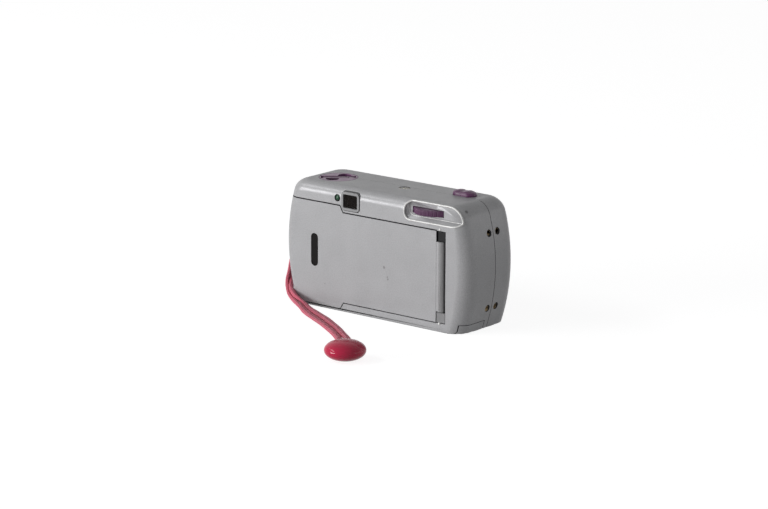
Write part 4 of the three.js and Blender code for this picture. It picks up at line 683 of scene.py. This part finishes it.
def ontoSkin(p):
    # the flat top stays; corners of the foot move out sideways to the sharper edge's foot
    p = p.copy()
    lifted = p * (1, 1, 0) + (0, 0, skin["footRound"])
    over = skinDistance(lifted)
    atFoot = (p[:, 2] <= skin["onPlane"]) & (np.abs(over + skin["footRound"]) < skin["footReach"])
    slope = skinSlope(lifted) * (1, 1, 0)
    p -= np.where(atFoot[:, None], (over + shape["footRound"])[:, None] * slope, 0)
    # all others take a few Newton steps along the slope of the distance
    free = (p[:, 2] < skin["top"] - skin["onPlane"]) & (p[:, 2] > skin["onPlane"])
    for _ in range(3):
        slope = skinSlope(p)
        slope[p[:, 2] < skin["footRound"]] *= (1, 1, 0)
        step = skinDistance(p)[:, None] * slope / np.maximum((slope**2).sum(1), 0.05)[:, None]
        p -= np.where(free[:, None], np.clip(step, -skin["longestStep"], skin["longestStep"]), 0)
    return p


def isSkin(face):
    # near the CAD outline, or at its top, and looking the same way as it
    centre = np.array([face.calc_center_median()]) * 1000
    steep = max(float(np.linalg.norm(skinSlope(centre, skin)[0])), 1.0)
    away = abs(skinDistance(centre, skin)[0]) / steep
    if away > skin["near"] and centre[0, 2] < skin["top"] - skin["onPlane"]:
        return False
    return float(np.dot(np.array(face.normal), skinNormal(centre, skin)[0])) > 0.9


recess = {  # the box that holds the thumbwheel's recess, its raised lip and its floor's edge (mm)
    "low": (17.0, -23.0, 52.5), "high": (60.0, -16.9, 63.1), "lipRadius": 0.5, "lipSink": 0.1,
    "step": 0.5, "sides": 12, "passes": 3,
    "floor": -17.4, "left": 20.2, "foot": 55.0, "top": 60.8, "right": 52.6, "round": 3.2,
    "edgeRadius": 0.2,
}
rims = {}


def inside(points, low, high):
    return np.all((points >= np.array(low)) & (points <= np.array(high)), axis=1)


def rimLoop(work, tag):
    # the longest chain of edges between painted skin and the recess's walls
    links = {}
    for e in work.edges:
        if len(e.link_faces) == 2 and e.link_faces[0][tag] != e.link_faces[1][tag]:
            a, b = e.verts
            if inside(np.array([a.co, b.co]) * 1000, recess["low"], recess["high"]).all():
                links.setdefault(a, []).append(b)
                links.setdefault(b, []).append(a)
    best = []
    left = dict.fromkeys(links)  # keeps its order, so each run starts from the same corner
    while left:
        chain = [left.popitem()[0]]
        while True:
            step = [v for v in links[chain[-1]] if v in left]
            if not step:
                break
            del left[step[0]]
            chain.append(step[0])
        if len(chain) > len(best):
            best = chain
    return np.array([v.co for v in best]) * 1000


seams = {  # box that holds the corners of an edge (mm), and how far that edge moves
    "back_door": [((-60, -21, 2.3), (-19, -8, 2.5), (0, 0, -1.15)),
                  ((-19.5, -21, 4.5), (40, -8, 4.7), (0, 0, 0.15)),
                  ((-60, -21, 50.2), (40, -8, 54), (0, 0, -0.32)),
                  ((38.9, -21, 0), (39.3, -18, 54), (-0.08, 0, 0))],
    "rear_shell": [((-60, -21, 2.0), (-19, -8, 2.2), (0, 0, -1.15)),
                   ((-60, 0.9, 62.5), (60, 1.0, 64), (0, 0.1, 0))],
    "front_shell": [((-60, 1.2, 62.5), (60, 1.3, 64), (0, -0.1, 0))],
    "hinge_block_bottom": [((38, -21, 4), (40.6, -10, 10), (-0.75, 0, 0))],
}


def shiftSeams(work, node):
    for low, high, step in seams.get(node, []):
        for v in work.verts:
            if inside(np.array([v.co]) * 1000, low, high)[0]:
                v.co += Vector(step) * mm


def cutFiner(work, tag):
    # halve the long edges of the skin until none is longer than a cell
    for _ in range(skin["cuts"]):
        painted = (e for e in work.edges if any(f[tag] for f in e.link_faces))
        long = [e for e in painted if e.calc_length() > skin["cell"] * mm]
        if not long:
            break
        bmesh.ops.subdivide_edges(work, edges=long, cuts=1)
        bmesh.ops.triangulate(work, faces=[f for f in work.faces if len(f.verts) > 3])


def shadeSkin(mesh, tags):
    # corners of skin faces look along the true curve; all others keep their own normals
    corners = readAll(mesh.corner_normals, "vector", 3, np.float32)
    onLoop = np.repeat(tags, readAll(mesh.polygons, "loop_total", 1, int)) == 1
    vertOf = readAll(mesh.loops, "vertex_index", 1, int)
    normals = skinNormal(readAll(mesh.vertices, "co", 3) * 1000)
    corners[onLoop] = normals[vertOf][onLoop]
    mesh.normals_split_custom_set(corners.tolist())


def makeSkin(name, node, body, hardAngle=32):
    work = bmesh.new()
    work.from_mesh(frame["nodes"][node].data)
    bmesh.ops.remove_doubles(work, verts=work.verts, dist=weld)
    shiftSeams(work, node)
    tag = work.faces.layers.int.new("skin")
    work.normal_update()
    for f in work.faces:
        f[tag] = int(isSkin(f))
    cutFiner(work, tag)
    onSkin = [v for v in work.verts if any(f[tag] for f in v.link_faces)]
    moved = ontoSkin(np.array([v.co for v in onSkin]) * 1000) * mm
    for v, place in zip(onSkin, moved):
        v.co = place
    rims[node] = rimLoop(work, tag)
    mesh = bpy.data.meshes.new(name)
    work.to_mesh(mesh)
    work.free()
    smoothFaces(mesh, hardAngle)
    tags = readAll(mesh.attributes["skin"].data, "value", 1, int)
    shadeSkin(mesh, tags)
    piece = linkPiece(name, mesh, body, finish["silver_paint"])
    # faces off the skin, outside the recess, take the near black that is bare plastic and painted seam
    # shade
    mesh.materials.append(bareShellSeamShade)
    inRecess = inside(readAll(mesh.polygons, "center", 3) * 1000, recess["low"], recess["high"])
    mesh.polygons.foreach_set("material_index", ((tags == 0) & ~inRecess).astype(np.int32))
    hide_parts(node)
    return piece


for name, node, body in (("rear_skin", "rear_shell", "camera_body"),
                         ("front_skin", "front_shell", "camera_body"),
                         ("door_skin", "back_door", "back_door"),
                         ("battery_door_skin", "battery_door", "battery_door")):
    made = makeSkin(name, node, body)
    print("skin laid:", name, len(made.data.polygons), "faces")


# Raised lip round the thumbwheel's recess, and a thin tube along the edge of its floor; both are in pale
# paint, a painted highlight

def evenLoop(points, step, passes):
    closed = np.vstack([points, points[:1]])
    along = np.concatenate([[0], np.cumsum(np.linalg.norm(np.diff(closed, axis=0), axis=1))])
    even = np.linspace(0, along[-1], int(along[-1] / step), endpoint=False)
    loop = np.stack([np.interp(even, along, closed[:, k]) for k in range(3)], axis=1)
    for _ in range(passes):
        loop = (np.roll(loop, 1, axis=0) + 2 * loop + np.roll(loop, -1, axis=0)) / 4
    return loop


def makeLip(k):
    loop = ontoSkin(evenLoop(rims["rear_shell"], k["step"], k["passes"]))
    normal = skinNormal(loop)
    tangent = np.roll(loop, -1, axis=0) - np.roll(loop, 1, axis=0)
    tangent /= np.linalg.norm(tangent, axis=1)[:, None]
    side = np.cross(tangent, normal)
    side *= np.sign((side * (loop - loop.mean(axis=0))).sum())
    centre = loop - normal * k["lipSink"]
    angle = np.arange(k["sides"]) / k["sides"] * 2 * np.pi
    ring = np.cos(angle)[None, :, None] * side[:, None] + np.sin(angle)[None, :, None] * normal[:, None]
    points = centre[:, None] + k["lipRadius"] * ring
    mesh = gridMesh("recess_lip", np.concatenate([points, points[:1]]) * mm)
    faceOut(mesh)
    smoothFaces(mesh)
    # the lip's pale paint is a painted highlight
    return linkPiece("recess_lip", mesh, "camera_body", highlightPaint)


def tubeAlong(name, path, radius, sides, body, material):
    tangent = np.gradient(path, axis=0)
    tangent /= np.linalg.norm(tangent, axis=1)[:, None]
    across = np.cross(tangent, (0, 1, 0))
    across /= np.linalg.norm(across, axis=1)[:, None]
    over = np.cross(across, tangent)
    angle = np.arange(sides) / sides * 2 * np.pi
    ring = np.cos(angle)[None, :, None] * across[:, None] + np.sin(angle)[None, :, None] * over[:, None]
    mesh = gridMesh(name, (path[:, None] + radius * ring) * mm, True, True, True)
    faceOut(mesh)
    smoothFaces(mesh, 60)
    return linkPiece(name, mesh, body, material)


def makeFloorEdge(k):
    # down the left side, round the corner and along the foot of the recess's floor
    turn = np.radians(np.linspace(180, 270, 9))
    across, up = 1 + np.cos(turn), 1 + np.sin(turn)
    corner = np.stack([k["left"] + k["round"] * across, k["foot"] + k["round"] * up], axis=1)
    flat = np.vstack([[k["left"], k["top"]], corner, [k["right"], k["foot"]]])
    path = np.stack([flat[:, 0], np.full(len(flat), k["floor"]), flat[:, 1]], axis=1)
    # a thin pale tube where the floor's edge catches the light: painted highlight
    tubeAlong("recess_edge_highlight", path, k["edgeRadius"], 8, "camera_body", highlightPaint)


makeLip(recess)
makeFloorEdge(recess)
print("recess lip laid:", len(rims["rear_shell"]), "points")


# Pin ends showing above and below the hinge, and the leaf that joins the barrel to the door

hinge = {"pins": ((41.25, -20.0, 51.0), (41.2, -20.0, 4.3)), "pinRadius": 0.72, "pinRings": 8,
         "leafLow": (39.0, -19.95, 10.1), "leafHigh": (40.6, -19.5, 44.7), "leafEdge": 0.12}


def boxMesh(name, low, high):
    low, high = np.array(low), np.array(high)
    corners = np.array([[x, y, z] for z in (0, 1) for x, y in ((0, 0), (1, 0), (1, 1), (0, 1))])
    return gridMesh(name, (low + corners * (high - low)).reshape(2, 4, 3) * mm, True, True, True)


def domeMesh(name, centre, radius, rings, around=24, flat=0.7, sunk=0.5):
    # half a ball looking out of the back, its height a share of its radius, on a short sunk stem
    t = np.linspace(0, np.pi / 2 * 0.98, rings)
    u = np.arange(around) / around * 2 * np.pi
    x = centre[0] + radius * np.cos(t)[:, None] * np.cos(u)
    z = centre[2] + radius * np.cos(t)[:, None] * np.sin(u)
    y = centre[1] - radius * flat * np.sin(t)[:, None] + 0 * u
    base = np.stack([x[:1], y[:1] + sunk, z[:1]], axis=-1)
    return gridMesh(name, np.concatenate([base, np.stack([x, y, z], axis=-1)]) * mm, True, True, True)


def roundEdges(piece, width, angle=35, segments=2):
    edge = piece.modifiers.new("edge", "BEVEL")
    edge.width, edge.segments = width * mm, segments
    edge.limit_method, edge.angle_limit = "ANGLE", math.radians(angle)
    edge.harden_normals = True
    return piece


def makeHinge(h):
    for number, place in enumerate(h["pins"]):
        mesh = domeMesh(f"pin_end_{number}", place, h["pinRadius"], h["pinRings"])
        faceOut(mesh)
        smoothFaces(mesh, 60)
        # the pin ends' pale paint is a painted highlight on their domes
        linkPiece(mesh.name, mesh, "camera_body", highlightPaint)
    mesh = boxMesh("hinge_leaf", h["leafLow"], h["leafHigh"])
    faceOut(mesh)
    smoothFaces(mesh, 35)
    leaf = linkPiece("hinge_leaf", mesh, "back_door", finish["silver_paint"])
    roundEdges(leaf, h["leafEdge"])


makeHinge(hinge)
print("hinge leaf and pin ends made")


# Thumbwheel's rim: a finely ribbed band with rounded edges, over the CAD wheel's teeth

wheel = {"x": 32.0, "y": -9.5, "inner": 9.4, "radius": 12.06, "low": 56.56, "high": 59.44, "edge": 0.45,
         "ribs": 76, "ribDepth": 0.24, "perRib": 8}


def makeWheel(w):
    # radius = rim - depth * (a wave per rib), strongest at mid height, fading into the rounded edges
    count = w["ribs"] * w["perRib"]
    u = np.arange(count) / count * 2 * np.pi
    wave = (0.5 - 0.5 * np.cos(u * w["ribs"])) ** 1.5
    turn = np.radians(np.linspace(0, 90, 5))
    out = w["radius"] - w["edge"] * (1 - np.sin(turn))
    rise = w["edge"] * (1 - np.cos(turn))
    radii = np.concatenate([[w["inner"]], out, out[::-1], [w["inner"]]])
    heights = np.concatenate([[w["low"]], w["low"] + rise, w["high"] - rise[::-1], [w["high"]]])
    share = np.concatenate([[0], np.sin(turn), np.sin(turn)[::-1], [0]])
    r = radii[:, None] - w["ribDepth"] * share[:, None] * wave
    level = heights[:, None] + 0 * u
    points = np.stack([w["x"] + r * np.cos(u), w["y"] + r * np.sin(u), level], axis=-1)
    mesh = gridMesh("wheel_rim", np.concatenate([points, points[:1]]) * mm)
    faceOut(mesh)
    smoothFaces(mesh, 50)
    return linkPiece("wheel_rim", mesh, bodyOf["thumbwheel"], finish["plum_plastic"])


makeWheel(wheel)
print("thumbwheel rim made")


# Shutter button: two smooth lobes with a shallow saddle between them

button = {"x": 37.1, "y": 4.7, "length": 13.0, "width": 8.0, "square": 0.92, "waist": 0.6, "grow": 0.05,
          "low": 61.0, "edge": 63.9, "top": 65.42, "lobe": 0.5, "saddle": 1.7, "fullness": 2.4,
          "spread": 0.9, "around": 96, "rings": 22}


def makeButton(b):
    # outline: a squarish ellipse pinched in the middle of its long sides, as the CAD button's is
    # height: edge + rise * (1 - s^f)^(1/f) at the share s of the way out, plus two lobes by a saddle
    u = np.arange(b["around"]) / b["around"] * 2 * np.pi
    wide, deep = (np.sign(c) * np.abs(c) ** b["square"] for c in (np.cos(u), np.sin(u)))
    waist = 1 - b["waist"] / b["width"] * (1 + np.cos(4 * u)) * np.abs(np.sin(u))
    ox = (b["length"] / 2 + b["grow"]) * wide
    oy = (b["width"] / 2 + b["grow"]) * deep * waist
    s = np.cos(np.linspace(0, np.pi / 2, b["rings"]))[:, None] ** b["spread"]
    x, y = b["x"] + s * ox, b["y"] + s * oy
    dome = (1 - np.clip(s, 0, 1) ** b["fullness"]) ** (1 / b["fullness"])
    lobes = b["lobe"] * (1 - np.exp(-((s * ox / b["saddle"]) ** 2))) * (1 - s**4)
    z = b["edge"] + (b["top"] - b["edge"]) * dome + lobes
    base = np.stack([x[0], y[0], np.full(b["around"], b["low"])], axis=-1)[None]
    rings = np.concatenate([base, np.stack([x, y, z], axis=-1)[:-1]])
    mesh = gridMesh("button_cap", rings * mm, True, True, True)
    faceOut(mesh)
    smoothFaces(mesh, 70)
    return linkPiece("button_cap", mesh, "shutter_button", finish["plum_plastic"])


makeButton(button)
print("shutter button cap made")


# Moulded and turned pieces: CAD nodes copied and merged, their edges slightly rounded

special = {"hinge_barrel": shadedBarrelPaint, "eyepiece_bezel": shadedBezelPaint, "rewind_crank": darkPlum,
           "rewind_knob": palePlum}
edges = {  # node: edge radius in mm
    "hinge_block_top": 0.2, "hinge_block_bottom": 0.2, "hinge_barrel": 0.15, "eyepiece_bezel": 0.3,
    "ready_lamp": 0.3, "door_latch": 0.25, "strap_lug": 0.4, "rewind_knob": 0.2, "rewind_crank": 0.25,
    "crank_grip": 0.25, "lens_cover": 0.35, "lens_barrel": 0.2, "flash_window": 0.2, "battery": 0.35,
    "flash_capacitor": 0.35, "film_sprocket": 0.12, "take_up_spool": 0.15, "tripod_bush": 0.12,
    "release_lever": 0.1, "flash_transformer": 0.2, "pressure_plate": 0.25, "cassette_window": 0.15,
}
edges.update({node: 0.1 for node in slotOf if node.startswith("screw_")})


def soften(node, width, angle=35):
    work = bmesh.new()
    work.from_mesh(frame["nodes"][node].data)
    bmesh.ops.remove_doubles(work, verts=work.verts, dist=weld)
    bmesh.ops.dissolve_limit(work, angle_limit=math.radians(0.4), verts=work.verts, edges=work.edges)
    shiftSeams(work, node)
    mesh = bpy.data.meshes.new(node + "_soft")
    work.to_mesh(mesh)
    work.free()
    smoothFaces(mesh, angle)
    material = special.get(node, finish[slotOf[node]])
    piece = linkPiece(mesh.name, mesh, bodyOf[node], material)
    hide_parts(node)
    return roundEdges(piece, width, angle)


for node, width in edges.items():
    soften(node, width)
print("edges rounded:", len(edges), "nodes")


# Finishes of the nodes that stay as they are

for name, slotName in slotOf.items():
    node = frame["nodes"].get(name)
    if node and slotName in finish:
        node.data.materials.clear()
        node.data.materials.append(ownGlass.get(name, finish[slotName]))
print("node finishes set")
